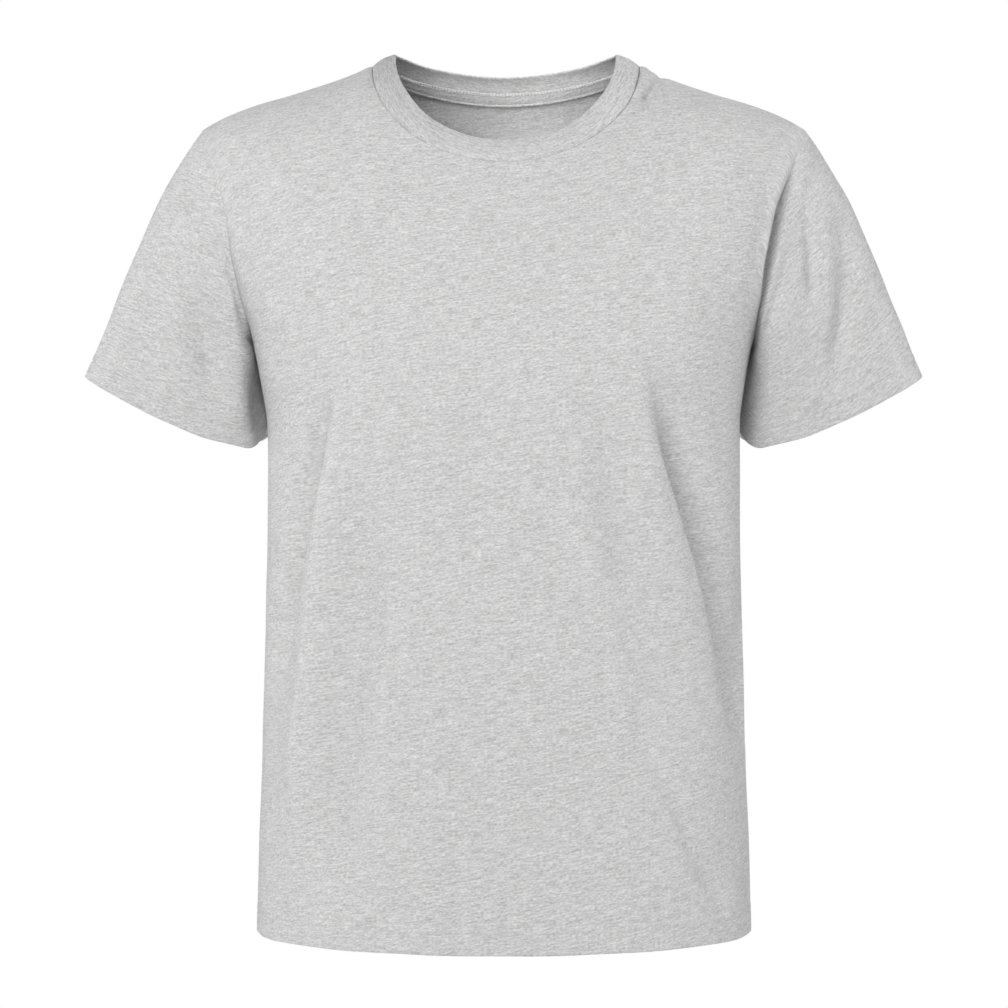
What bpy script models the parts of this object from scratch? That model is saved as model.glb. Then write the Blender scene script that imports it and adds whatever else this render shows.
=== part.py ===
"""Crew neck t-shirt, filled out as when worn, modelled as the pieces it is sewn from.

Every piece is a closed wall of cloth: an outer surface worked out from the sizes and tables below,
and an inner one a wall's thickness further in. Lengths are metres. +Z is up, the front faces -Y and
the wearer's left is +X. The origin is the middle of the neck opening, level with the points where
the shoulder seams meet the neckband.
"""
import bmesh
import bpy
import numpy as np

OBJECT_NAME = "crew_neck_t_shirt"

# Cloth
PANEL_WALL = 0.0012
BAND_WALL = 0.0020
TAPE_WALL = 0.0010
SEAM_GAP = 0.0003
TURNED_SEAM_SHARE = 1.4

# Cut, as the shirt hangs
HEM_HEIGHT = -0.701
UNDERARM_HEIGHT = -0.225
TIP_HALF_WIDTH = 0.2445
NECK_HALF_WIDTH = 0.107
FRONT_NECK_DROP = 0.086
BACK_NECK_DROP = 0.018
ARMHOLE_DEPTH_SHARE = 0.37
ARMHOLE_WIDEST_HEIGHT = -0.150
EDGE_HOLD = 8  # the higher, the nearer to a panel's side edges its folds run

# Neckband: its top edge is a smaller loop inside the neck seam
BAND_TOP_HALF_WIDTH = 0.088
BAND_TOP_HEIGHT = 0.008
BAND_FRONT_DROP = 0.075
BAND_BACK_DROP = 0.010
FRONT_CURVE = 1
BACK_SEAM_CURVE = 2
BACK_TOP_CURVE = 3
BAND_DEPTH_SHARE = 0.86
BAND_CROWN = 0.0012

# Tape over the back neck seam
TAPE_BELOW_SEAM = 0.0057
TAPE_SHARE_OF_BAND = 0.24
TAPE_CLEARANCE = 0.0009

# Sleeves
CUFF_TOP = (0.3400, 0.006, -0.2520)
CUFF_UNDERARM = (0.1880, 0.028, -0.2880)
SLEEVE_TOP_BOW = 0.0075
SLEEVE_SIDE_BOW = 0.0050
BOW_FALL = 1.8
SLEEVE_CLEARANCE = 0.0016
CLEARANCE_RUN = 0.015

# Mesh
NECK_COLUMNS = 8
SHOULDER_COLUMNS = 6
ROWS_BELOW_UNDERARM = 12
ROWS_ABOVE_UNDERARM = 13
SLEEVE_RINGS = 10
BAND_ROWS = 3

CLOTH_COLOUR = (0.60, 0.60, 0.60, 1.0)
TAPE_COLOUR = (0.52, 0.52, 0.52, 1.0)
CLOTH_ROUGHNESS = 0.9


def table(columns, rows):
    """Rows of numbers as named columns, in rising order of the first."""
    return dict(zip(columns.split(), np.array(rows, float).T))


# The trunk, a row for each level. The widths and depths are those of the whole section, which the
# armholes cut and the shoulders roll in from.
BODY = table("height half_width front_depth back_depth roundness", [
    (-0.701, 0.2000, 0.145, 0.120, 2.00),
    (-0.630, 0.1983, 0.144, 0.119, 2.02),
    (-0.565, 0.1957, 0.142, 0.118, 2.05),
    (-0.500, 0.1945, 0.141, 0.118, 2.08),
    (-0.430, 0.1925, 0.139, 0.119, 2.12),
    (-0.350, 0.1910, 0.137, 0.122, 2.16),
    (-0.290, 0.1912, 0.135, 0.124, 2.20),
    (-0.265, 0.1940, 0.135, 0.125, 2.20),
    (-0.230, 0.2003, 0.135, 0.126, 2.20),
    (-0.205, 0.2079, 0.135, 0.126, 2.20),
    (-0.185, 0.2152, 0.135, 0.126, 2.20),
    (-0.150, 0.2270, 0.135, 0.126, 2.20),
    (-0.115, 0.2370, 0.135, 0.125, 2.20),
    (-0.086, 0.2470, 0.135, 0.124, 2.20),
    (-0.052, 0.2575, 0.135, 0.122, 2.20),
    (0.000, 0.2655, 0.135, 0.120, 2.20),
    (0.040, 0.2700, 0.135, 0.120, 2.20),
])

# The shoulder line, a row for each distance from the middle: how high the cloth turns over there on
# the front and the back, where, and how far down and how roundly it rolls out to its full depth.
SHOULDER = table("across front_top back_top top_y front_roll front_power back_roll back_power", [
    (0.0000, 0.0020, 0.0220, 0.006, 0.300, 1.40, 0.220, 1.90),
    (0.0600, 0.0020, 0.0160, 0.007, 0.290, 1.45, 0.220, 1.90),
    (0.1070, 0.0000, 0.0000, 0.008, 0.260, 1.60, 0.220, 1.90),
    (0.1200, -0.0055, -0.0055, 0.008, 0.245, 1.68, 0.215, 1.90),
    (0.1375, -0.0125, -0.0125, 0.008, 0.225, 1.78, 0.208, 1.90),
    (0.1680, -0.0225, -0.0225, 0.008, 0.200, 1.90, 0.200, 1.90),
    (0.2010, -0.0320, -0.0320, 0.008, 0.190, 1.90, 0.190, 1.90),
    (0.2260, -0.0418, -0.0418, 0.007, 0.178, 1.90, 0.178, 1.90),
    (0.2445, -0.0520, -0.0520, 0.006, 0.170, 1.90, 0.170, 1.90),
    (0.2560, -0.0600, -0.0600, 0.006, 0.170, 1.90, 0.170, 1.90),
])

# The cuff, from its top fold (0) to the underarm (1): how far its edge hangs below the straight line
# between the two, and how far it stands out in front and behind.
CUFF = table("around front_drop back_drop front_reach back_reach", [
    (0.00, 0.0000, 0.0000, 0.0000, 0.0000),
    (0.12, 0.0030, 0.0022, 0.0150, 0.0140),
    (0.25, 0.0085, 0.0065, 0.0290, 0.0270),
    (0.50, 0.0220, 0.0170, 0.0420, 0.0400),
    (0.65, 0.0270, 0.0205, 0.0410, 0.0390),
    (0.80, 0.0270, 0.0200, 0.0330, 0.0310),
    (0.90, 0.0190, 0.0140, 0.0200, 0.0190),
    (1.00, 0.0000, 0.0000, 0.0000, 0.0000),
])

# The largest folds of the panels, as long soft troughs: side of the shirt (-1 front, 1 back), the
# two ends, half of the width and the depth.
PANEL_FOLDS = table("side x_from z_from x_to z_to spread depth", [
    (-1, 0.106, -0.235, 0.176, -0.520, 0.020, 0.0060),
    (-1, -0.150, -0.290, -0.163, -0.450, 0.020, 0.0030),
    (1, 0.120, -0.260, 0.150, -0.560, 0.024, 0.0050),
    (1, -0.110, -0.300, -0.150, -0.580, 0.024, 0.0045),
])


def read(rows, column, at):
    """A column of a table between its rows, on a smooth curve that overshoots none of them."""
    keys, values = next(iter(rows.values())), rows[column]
    step = np.diff(keys)
    rise = np.diff(values) / step
    slope = np.concatenate([rise[:1], np.zeros(len(rise) - 1), rise[-1:]])
    same_way = np.flatnonzero(rise[:-1] * rise[1:] > 0)
    slope[same_way + 1] = 2 / (1 / rise[same_way] + 1 / rise[same_way + 1])
    at = np.clip(at, keys[0], keys[-1])
    i = np.clip(np.searchsorted(keys, at, side="right") - 1, 0, len(step) - 1)
    t = (at - keys[i]) / step[i]
    return (
        (1 + 2 * t) * (1 - t) ** 2 * values[i]
        + t * (1 - t) ** 2 * step[i] * slope[i]
        + t * t * (3 - 2 * t) * values[i + 1]
        + t * t * (t - 1) * step[i] * slope[i + 1]
    )


def unit(vectors):
    return vectors / np.linalg.norm(vectors, axis=-1, keepdims=True)


def panel_half_width(height):
    """Half width of a panel: out to the side seam, or to where the armhole cuts the section."""
    armhole = ARMHOLE_WIDEST_HEIGHT - UNDERARM_HEIGHT
    below = np.clip((ARMHOLE_WIDEST_HEIGHT - height) / armhole, 0, 1)
    cut = ARMHOLE_DEPTH_SHARE * np.sqrt(1 - below**2)
    roundness = read(BODY, "roundness", height)
    return read(BODY, "half_width", height) * (1 - cut**roundness) ** (1 / roundness)


def trunk_point(side, x, height):
    """A point of the front (side -1) or the back (1) of the trunk, from its X and its height."""
    face = "front" if side < 0 else "back"
    away = np.abs(x)
    roundness = read(BODY, "roundness", height)
    bulge = np.clip(1 - (away / read(BODY, "half_width", height)) ** roundness, 0, 1)
    full = side * read(BODY, face + "_depth", height) * bulge ** (1 / roundness)
    below = (read(SHOULDER, face + "_top", away) - height) / read(SHOULDER, face + "_roll", away)
    power = read(SHOULDER, face + "_power", away)
    rolled = (1 - (1 - np.clip(below, 0, 1)) ** power) ** (1 / power)
    top = read(SHOULDER, "top_y", away)
    return np.stack([x, top + (full - top) * rolled, height], -1)


def neck_curve(side, turn, spread=0.0):
    """X and height of the neck seam at a turn (-1 to 1 round one panel), or of a curve outside it."""
    drop, curve = (FRONT_NECK_DROP, FRONT_CURVE) if side < 0 else (BACK_NECK_DROP, BACK_SEAM_CURVE)
    dip = np.cos(turn * np.pi / 2) ** curve
    shoulder = read(SHOULDER, "front_top", NECK_HALF_WIDTH + spread)
    x = (NECK_HALF_WIDTH + spread) * np.sin(turn * np.pi / 2)
    return x, -(drop + spread) * dip + shoulder * (1 - dip)


def panel_columns(side):
    """For each column of a panel, its share of the half width at hem and top, and its top height."""
    turn = np.linspace(0, 1, NECK_COLUMNS + 1)
    neck_x, neck_z = neck_curve(side, turn)
    shoulder_x = np.linspace(NECK_HALF_WIDTH, TIP_HALF_WIDTH, SHOULDER_COLUMNS + 1)[1:]
    top_x = np.concatenate([neck_x, shoulder_x])
    top_z = np.concatenate([neck_z, read(SHOULDER, "front_top", shoulder_x)])
    at_hem = np.sin(np.linspace(0, np.pi / 2, len(top_x)))
    at_top = top_x / panel_half_width(top_z)
    at_top[-1] = 1.0
    mirrored = np.concatenate([-at_hem[:0:-1], at_hem]), np.concatenate([-at_top[:0:-1], at_top])
    return *mirrored, np.concatenate([top_z[:0:-1], top_z])


def fold_depth(folds, side, x, z):
    """How far the folds of one side of the shirt take the cloth in at each point."""
    total = np.zeros_like(x)
    for fold_side, x_from, z_from, x_to, z_to, spread, depth in zip(*folds.values()):
        if fold_side != side:
            continue
        run = np.array([x_to - x_from, z_to - z_from])
        length = np.hypot(*run)
        along = ((x - x_from) * run[0] + (z - z_from) * run[1]) / length**2
        across = ((x - x_from) * run[1] - (z - z_from) * run[0]) / length
        fade = np.sin(np.pi * np.clip(along, 0, 1))
        total += depth * fade * np.exp(-((across / spread) ** 2))
    return total


def panel_points(side):
    """The outer surface of the front or back panel: rows from the hem to the top, columns across."""
    at_hem, at_top, top_z = panel_columns(side)
    lower = np.linspace(0, 1, ROWS_BELOW_UNDERARM + 1)[:-1, None]
    upper = (1 - np.cos(np.linspace(0, np.pi, ROWS_ABOVE_UNDERARM + 1)))[:, None] / 2
    height = np.concatenate([
        HEM_HEIGHT + (UNDERARM_HEIGHT - HEM_HEIGHT) * lower + 0 * top_z,
        UNDERARM_HEIGHT + (top_z - UNDERARM_HEIGHT) * upper,
    ])
    climb = (height - HEM_HEIGHT) / (top_z - HEM_HEIGHT)
    share = at_hem + (at_top - at_hem) * climb**2
    points = trunk_point(side, share * panel_half_width(height), height)
    taken_in = fold_depth(PANEL_FOLDS, side, points[..., 0], height) * (1 - share**EDGE_HOLD)
    points -= grid_normals(points, -side) * taken_in[..., None]
    half_gap = side * SEAM_GAP / 2
    points[: ROWS_BELOW_UNDERARM + 1, [0, -1], 1] += half_gap
    points[-1, : SHOULDER_COLUMNS + 1, 1] += half_gap
    points[-1, -SHOULDER_COLUMNS - 1 :, 1] += half_gap
    return points


def grid_normals(points, sign, closed=False):
    """Unit normals of a grid of points, turned outward by the sign. A closed grid wraps its columns."""
    rows = np.gradient(points, axis=0)
    if closed:
        columns = np.roll(points, -1, axis=1) - np.roll(points, 1, axis=1)
    else:
        columns = np.gradient(points, axis=1)
    return unit(sign * np.cross(columns, rows))


def share_normals(first, second):
    """Gives two edges along a seam like normals, so that their walls meet square.

    Where the cloth turns back on itself at the seam, each keeps its own. Returns how alike they were.
    """
    alike = np.clip(2 * np.sum(first * second, axis=-1, keepdims=True), 0, 1)
    first[...], second[...] = unit(first + alike * second), unit(second + alike * first)
    return alike


def sew_on(rows, normals):
    """Meets a closed piece's first row with the edge that it is sewn to, and returns its normals.

    The row starts on that edge, whose normals are given and are changed to meet the piece's. It ends
    up the seam gap away: beside the edge where the cloth runs on, and outside it where it turns back.
    """
    own = grid_normals(rows, 1, closed=True)
    alike = share_normals(normals, own[0])
    tangents = np.roll(rows[0], -1, axis=0) - np.roll(rows[0], 1, axis=0)
    aside = unit(np.cross(tangents, normals))
    aside *= np.sign(np.sum(aside * (rows[-1] - rows[0]), axis=-1, keepdims=True))
    rows[0] += SEAM_GAP * (alike * aside + (1 - alike) * normals * TURNED_SEAM_SHARE)
    return own


def armhole_loop(front, back, column):
    """The armhole from the shoulder tip down the front, under the arm and up the back."""
    down = front[ROWS_BELOW_UNDERARM:, column][::-1]
    up = back[ROWS_BELOW_UNDERARM:, column]
    loop = np.concatenate([down, up[1:-1]])
    loop[0] = (down[0] + up[-1]) / 2
    loop[ROWS_ABOVE_UNDERARM] = (down[-1] + up[0]) / 2
    return loop


def give_armhole(loop, front, back, column):
    """Writes values round the armhole back to the edges of the two panels."""
    front[ROWS_BELOW_UNDERARM:, column] = loop[ROWS_ABOVE_UNDERARM::-1]
    back[ROWS_BELOW_UNDERARM:, column] = np.concatenate([loop[ROWS_ABOVE_UNDERARM:], loop[:1]])


def around_armhole(loop):
    """How far round each point is, from 0 at the tip to 1 under the arm, and which side it is on."""
    steps = np.linalg.norm(np.roll(loop, -1, axis=0) - loop, axis=1)
    travelled = np.concatenate([[0], np.cumsum(steps)])
    front_length = travelled[ROWS_ABOVE_UNDERARM]
    front_part = travelled[: ROWS_ABOVE_UNDERARM + 1] / front_length
    back_part = (travelled[-1] - travelled[ROWS_ABOVE_UNDERARM + 1 : -1]) / (travelled[-1] - front_length)
    side = np.concatenate([-np.ones(ROWS_ABOVE_UNDERARM + 1), np.ones(ROWS_ABOVE_UNDERARM - 1)])
    return np.concatenate([front_part, back_part]), side


def cuff_point(around, side):
    """The edge of the wearer's left cuff."""
    face = np.where(side < 0, 0, 1)
    drop = np.choose(face, [read(CUFF, "front_drop", around), read(CUFF, "back_drop", around)])
    reach = np.choose(face, [read(CUFF, "front_reach", around), read(CUFF, "back_reach", around)])
    share = ((1 - np.cos(np.pi * around)) / 2)[:, None]
    line = np.array(CUFF_TOP) * (1 - share) + np.array(CUFF_UNDERARM) * share
    run = np.subtract(CUFF_UNDERARM, CUFF_TOP)
    hang = unit(np.array([-run[2], 0, run[0]]))
    return line + hang * drop[:, None] + np.outer(side * reach, (0, 1, 0))


def clear_of_trunk(points, clearance):
    """Pushes points of the wearer's left sleeve out until they are clear of the trunk's side."""
    x, y, z = np.moveaxis(points, -1, 0)
    depth = np.where(y < 0, read(BODY, "front_depth", z), read(BODY, "back_depth", z))
    roundness = read(BODY, "roundness", z)
    inside = 1 - np.clip(np.abs(y) / depth, 0, 1) ** roundness
    trunk = read(BODY, "half_width", z) * inside ** (1 / roundness)
    below = np.clip((UNDERARM_HEIGHT - z) / CLEARANCE_RUN, 0, 1)
    least = np.where(z < UNDERARM_HEIGHT, trunk + SEAM_GAP + (clearance - SEAM_GAP) * below, -1)
    return np.stack([np.maximum(x, least), y, z], -1)


def bow_profile(share):
    """How much of a bow is felt along the sleeve: most a little above its middle, none at its ends."""
    peak = 1 / (1 + BOW_FALL)
    return share * (1 - share) ** BOW_FALL / (peak * (1 - peak) ** BOW_FALL)


def sleeve_points(loop, normals):
    """The outer surface of the wearer's left sleeve: rings from the armhole to the cuff.

    The normals are the panels' own round the armhole, and are changed to meet the sleeve's.
    """
    around, side = around_armhole(loop)
    cuff = cuff_point(around, side)
    share = np.linspace(0, 1, SLEEVE_RINGS + 1)[:, None, None]
    run = np.subtract(CUFF_TOP, loop[0])
    upward = unit(np.array([-run[2], 0, run[0]]))
    top = (np.cos(np.pi * around / 2) ** 2 * SLEEVE_TOP_BOW)[:, None] * upward
    sideways = np.outer(side * np.sin(np.pi * around) * SLEEVE_SIDE_BOW, (0, 1, 0))
    rings = loop + (cuff - loop) * share + bow_profile(share) * (top + sideways)
    rings[1:] = clear_of_trunk(rings[1:], SLEEVE_CLEARANCE)
    return rings, sew_on(rings, normals)


def neck_loop(front, back):
    """The neck seam, from the wearer's right shoulder round the front to the left and back behind."""
    first, last = SHOULDER_COLUMNS, SHOULDER_COLUMNS + 2 * NECK_COLUMNS
    loop = np.concatenate([front[-1, first : last + 1], back[-1, last - 1 : first : -1]])
    for place, column in ((0, first), (last - first, last)):
        loop[place] = (front[-1, column] + back[-1, column]) / 2
    return loop


def give_neck(loop, front, back):
    """Writes values round the neck seam back to the top edges of the two panels."""
    first, last = SHOULDER_COLUMNS, SHOULDER_COLUMNS + 2 * NECK_COLUMNS
    front[-1, first : last + 1] = loop[: last - first + 1]
    back[-1, first : last + 1] = np.concatenate([loop[:1], loop[: last - first - 1 : -1]])


def band_top(seam):
    """The top edge of the neckband above each point of the neck seam."""
    turn = np.arcsin(np.clip(seam[:, 0] / NECK_HALF_WIDTH, -1, 1))
    middle = read(SHOULDER, "top_y", NECK_HALF_WIDTH)
    dip = np.where(
        seam[:, 1] < middle,
        BAND_FRONT_DROP * np.cos(turn) ** FRONT_CURVE,
        BAND_BACK_DROP * np.cos(turn) ** BACK_TOP_CURVE,
    )
    return np.stack([
        seam[:, 0] * BAND_TOP_HALF_WIDTH / NECK_HALF_WIDTH,
        middle + (seam[:, 1] - middle) * BAND_DEPTH_SHARE,
        BAND_TOP_HEIGHT - dip,
    ], -1)


def band_points(seam, normals):
    """The outer surface of the neckband: rows from the seam to the top edge, slightly crowned."""
    share = np.linspace(0, 1, BAND_ROWS + 1)[:, None, None]
    rows = seam + (band_top(seam) - seam) * share
    rows += 4 * share * (1 - share) * BAND_CROWN * grid_normals(rows, 1, closed=True)
    return rows, sew_on(rows, normals)


def tape_points():
    """The outer side of the back neck tape, on the inside of the back panel and of the band."""
    turn = np.linspace(-1, 1, 2 * NECK_COLUMNS + 1)[1:-1]
    spreads = (TAPE_BELOW_SEAM, TAPE_BELOW_SEAM / 2, 0.0)
    below, middle, seam = (trunk_point(1, *neck_curve(1, turn, spread)) for spread in spreads)
    above = seam + (band_top(seam) - seam) * TAPE_SHARE_OF_BAND
    rows = np.stack([below, middle, seam, above])
    walls = np.array([PANEL_WALL, PANEL_WALL, BAND_WALL, BAND_WALL])[:, None, None]
    return rows - grid_normals(rows, -1) * (walls + TAPE_CLEARANCE)


def cloth_wall(name, outer, normals, thickness, material, collection, closed=False):
    """A closed wall from its outer surface: a skin each side and a rim along every free edge."""
    rows, columns = outer.shape[:2]
    points = np.concatenate([outer.reshape(-1, 3), (outer - normals * thickness).reshape(-1, 3)])
    mesh = bpy.data.meshes.new(name)
    build = bmesh.new()
    corners = [build.verts.new(point) for point in points]
    inner = rows * columns

    def at(row, column):
        return row * columns + column % columns

    last = columns if closed else columns - 1
    for row in range(rows - 1):
        for column in range(last):
            quad = at(row, column), at(row, column + 1), at(row + 1, column + 1), at(row + 1, column)
            for corner in ((0, 1, 2), (0, 2, 3)):
                build.faces.new([corners[quad[i]] for i in corner])
                build.faces.new([corners[quad[i] + inner] for i in reversed(corner)])
    rims = [[(at(row, c), at(row, c + 1)) for c in range(last)] for row in (0, rows - 1)]
    if not closed:
        rims += [[(at(r, column), at(r + 1, column)) for r in range(rows - 1)] for column in (0, columns - 1)]
    for start, end in (pair for rim in rims for pair in rim):
        build.faces.new([corners[i] for i in (start, end, end + inner)])
        build.faces.new([corners[i] for i in (start, end + inner, start + inner)])
    bmesh.ops.recalc_face_normals(build, faces=build.faces)
    build.to_mesh(mesh)
    build.free()
    mesh.shade_smooth()
    mesh.materials.append(material)
    piece = bpy.data.objects.new(name, mesh)
    collection.objects.link(piece)
    return piece


def cloth_material(name, colour):
    material = bpy.data.materials.new(name)
    material.use_nodes = True
    shader = material.node_tree.nodes["Principled BSDF"]
    shader.inputs["Base Color"].default_value = colour
    shader.inputs["Roughness"].default_value = CLOTH_ROUGHNESS
    shader.inputs["Metallic"].default_value = 0.0
    return material


def build_shirt():
    for old in list(bpy.data.objects):
        bpy.data.objects.remove(old, do_unlink=True)
    shirt = bpy.data.collections.new(OBJECT_NAME)
    bpy.context.scene.collection.children.link(shirt)

    front, back = panel_points(-1), panel_points(1)
    front_normals, back_normals = grid_normals(front, 1), grid_normals(back, -1)
    for part in (np.s_[:, 0], np.s_[:, -1], np.s_[-1, :]):
        share_normals(front_normals[part], back_normals[part])

    seam = neck_loop(front, back)
    seam_normals = neck_loop(front_normals, back_normals)
    band, band_normals = band_points(seam, seam_normals)
    give_neck(seam_normals, front_normals, back_normals)

    sleeves = {}
    for name, column, mirror in (("sleeve_left", -1, 1), ("sleeve_right", 0, -1)):
        flip = np.array([mirror, 1, 1])
        loop = armhole_loop(front, back, column) * flip
        loop_normals = armhole_loop(front_normals, back_normals, column) * flip
        rings, ring_normals = sleeve_points(loop, loop_normals)
        give_armhole(loop_normals * flip, front_normals, back_normals, column)
        sleeves[name] = rings * flip, ring_normals * flip

    cloth = cloth_material("cloth", CLOTH_COLOUR)
    cloth_wall("front_panel", front, front_normals, PANEL_WALL, cloth, shirt)
    cloth_wall("back_panel", back, back_normals, PANEL_WALL, cloth, shirt)
    for name, (rings, ring_normals) in sleeves.items():
        cloth_wall(name, rings, ring_normals, PANEL_WALL, cloth, shirt, closed=True)
    cloth_wall("neckband", band, band_normals, BAND_WALL, cloth, shirt, closed=True)
    tape = tape_points()
    tape_material = cloth_material("tape", TAPE_COLOUR)
    cloth_wall("back_neck_tape", tape, grid_normals(tape, -1), TAPE_WALL, tape_material, shirt)


build_shirt()
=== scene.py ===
"""Crew neck t-shirt in light grey melange jersey, filled out as when worn.

Each piece of cloth is a thin closed wall with rounded edges, on the form of its own solid, with the
folds, hems, seams and stitches that the solid leaves out. Lengths are metres. +Z is up, the front
faces -Y and the wearer's left is +X. Every point of the cloth also knows its place in the flat piece
that it was cut from, in metres across and along the grain, and the finishes read that as a UV map.
"""
import logging
import math
from dataclasses import dataclass, field
from enum import Enum

import bpy
import numpy as np
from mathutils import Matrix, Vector


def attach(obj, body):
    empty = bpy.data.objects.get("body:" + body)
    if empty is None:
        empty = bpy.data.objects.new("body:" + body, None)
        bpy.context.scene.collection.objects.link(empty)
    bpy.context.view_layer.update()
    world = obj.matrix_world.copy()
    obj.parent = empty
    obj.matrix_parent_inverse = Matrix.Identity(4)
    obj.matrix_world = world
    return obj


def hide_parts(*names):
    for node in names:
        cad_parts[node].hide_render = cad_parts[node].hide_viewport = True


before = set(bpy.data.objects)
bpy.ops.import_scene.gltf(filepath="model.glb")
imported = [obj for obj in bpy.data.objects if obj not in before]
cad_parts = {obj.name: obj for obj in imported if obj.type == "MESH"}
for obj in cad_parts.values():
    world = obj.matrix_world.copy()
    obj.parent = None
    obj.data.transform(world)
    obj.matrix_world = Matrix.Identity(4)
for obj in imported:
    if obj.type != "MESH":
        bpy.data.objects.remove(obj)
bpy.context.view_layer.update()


Array = np.ndarray
Colour = tuple[float, float, float]
Material = bpy.types.Material
Object = bpy.types.Object
Socket = bpy.types.NodeSocket
Value = Socket | float
Values = dict[str | int, Value | tuple[float, ...]]
Place = tuple[float, float, float]
log = logging.getLogger("t_shirt")

BODY_NAME = "root"
JERSEY_SLOT = "melange_jersey"
BAND_SLOT = "neckband_rib"
TAPE_SLOT = "neck_tape"
PANEL_CLOTHS = ("front_panel_cloth", "back_panel_cloth")
FLAT_MAP = "flat_cloth"
MM = 0.001


class Side(Enum):
    """The two faces of the shirt, each as the sign of its Y."""

    FRONT = -1
    BACK = 1


class Arm(Enum):
    """The wearer's two arms, each as the sign of its X."""

    LEFT = 1
    RIGHT = -1


def unit(vectors: Array) -> Array:
    """Vectors of the same directions and of length 1."""
    return vectors / np.maximum(np.linalg.norm(vectors, axis=-1, keepdims=True), 1e-12)


def smooth_step(share: Array | float) -> Array:
    """A soft rise from 0 at 0 to 1 at 1, level past both ends."""
    share = np.clip(share, 0, 1)
    return share * share * (3 - 2 * share)


def hump(away: Array, reach: float) -> Array:
    """A soft rise to 1 where the distance is 0, mostly within a reach of it."""
    return np.exp(-((away / reach) ** 2))


def summed(steps: Array, axis: int) -> Array:
    """The sum of the steps before each point along an axis, from 0 at the first."""
    return np.cumsum(np.insert(steps, 0, 0, axis), axis)


def travelled(points: Array, axis: int = 0) -> Array:
    """How far each point is from the first, along the row of them that runs along an axis."""
    return summed(np.linalg.norm(np.diff(points, axis=axis), axis=-1), axis)


def read_between(at: Array, known: Array, values: Array) -> Array:
    """Vectors at some places, in a straight line between those at the known places."""
    return np.stack([np.interp(at, known, part) for part in values.T], -1)


def along_columns(points: Array, distances: Array) -> Array:
    """Points at new distances along each column of a grid, from its first row."""
    columns = zip(distances.T, travelled(points).T, points.swapaxes(0, 1))
    return np.stack([read_between(*column) for column in columns], 1)


def grid_normals(points: Array, closed: bool) -> Array:
    """Unit normals of a bulging grid, turned away from the middle of each row.

    Args:
        points: The grid, as rows by columns by 3.
        closed: Whether the last column is joined to the first.

    Returns:
        A normal for each point.
    """
    across = np.roll(points, -1, 1) - np.roll(points, 1, 1) if closed else np.gradient(points, axis=1)
    normals = unit(np.cross(across, np.gradient(points, axis=0)))
    return normals * np.sign((normals * (points - points.mean(axis=1, keepdims=True))).sum())


def share_normals(first: Array, second: Array) -> tuple[Array, Array]:
    """Like normals for the two edges of a seam, except where the cloth turns back on itself there."""
    alike = np.clip(2 * np.sum(first * second, axis=-1, keepdims=True), 0, 1)
    return unit(first + alike * second), unit(second + alike * first)


def cells(grid: Array) -> Array:
    """The four corners of each cell of a grid, in turn."""
    return np.stack([grid[:-1, :-1], grid[:-1, 1:], grid[1:, 1:], grid[1:, :-1]], -1).reshape(-1, 4)


@dataclass(frozen=True)
class Chart:
    """Rows of sizes under named columns, in rising order of the first column."""

    columns: str
    rows: tuple[tuple[float, ...], ...]

    def read(self, column: str, at: Array | float) -> Array:
        """Reads a column between its rows, on a smooth curve that overshoots none of them.

        Args:
            column: The name of the column.
            at: Where to read it, in the units of the first column.

        Returns:
            The column's value at each place.
        """
        data = np.array(self.rows, float)
        keys, values = data[:, 0], data[:, self.columns.split().index(column)]
        step = np.diff(keys)
        rise = np.diff(values) / step
        slope = np.concatenate([rise[:1], np.zeros(len(rise) - 1), rise[-1:]])
        same_way = np.flatnonzero(rise[:-1] * rise[1:] > 0)
        slope[same_way + 1] = 2 / (1 / rise[same_way] + 1 / rise[same_way + 1])
        at = np.clip(at, keys[0], keys[-1])
        i = np.clip(np.searchsorted(keys, at, side="right") - 1, 0, len(step) - 1)
        t = (at - keys[i]) / step[i]
        return (
            (1 + 2 * t) * (1 - t) ** 2 * values[i]
            + t * (1 - t) ** 2 * step[i] * slope[i]
            + t * t * (3 - 2 * t) * values[i + 1]
            + t * t * (t - 1) * step[i] * slope[i + 1]
        )


# The body of the shirt, a row for each level: the whole section, which the armholes cut.
BODY = Chart("height half_width front_depth back_depth roundness", (
    (-0.701, 0.2000, 0.145, 0.120, 2.00),
    (-0.630, 0.1983, 0.144, 0.119, 2.02),
    (-0.565, 0.1957, 0.142, 0.118, 2.05),
    (-0.500, 0.1945, 0.141, 0.118, 2.08),
    (-0.430, 0.1925, 0.139, 0.119, 2.12),
    (-0.350, 0.1910, 0.137, 0.122, 2.16),
    (-0.290, 0.1912, 0.135, 0.124, 2.20),
    (-0.265, 0.1940, 0.135, 0.125, 2.20),
    (-0.230, 0.2003, 0.135, 0.126, 2.20),
    (-0.205, 0.2079, 0.135, 0.126, 2.20),
    (-0.185, 0.2152, 0.135, 0.126, 2.20),
    (-0.150, 0.2270, 0.135, 0.126, 2.20),
    (-0.115, 0.2370, 0.135, 0.125, 2.20),
    (-0.086, 0.2470, 0.135, 0.124, 2.20),
    (-0.052, 0.2575, 0.135, 0.122, 2.20),
    (0.000, 0.2655, 0.135, 0.120, 2.20),
    (0.040, 0.2700, 0.135, 0.120, 2.20),
))

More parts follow.
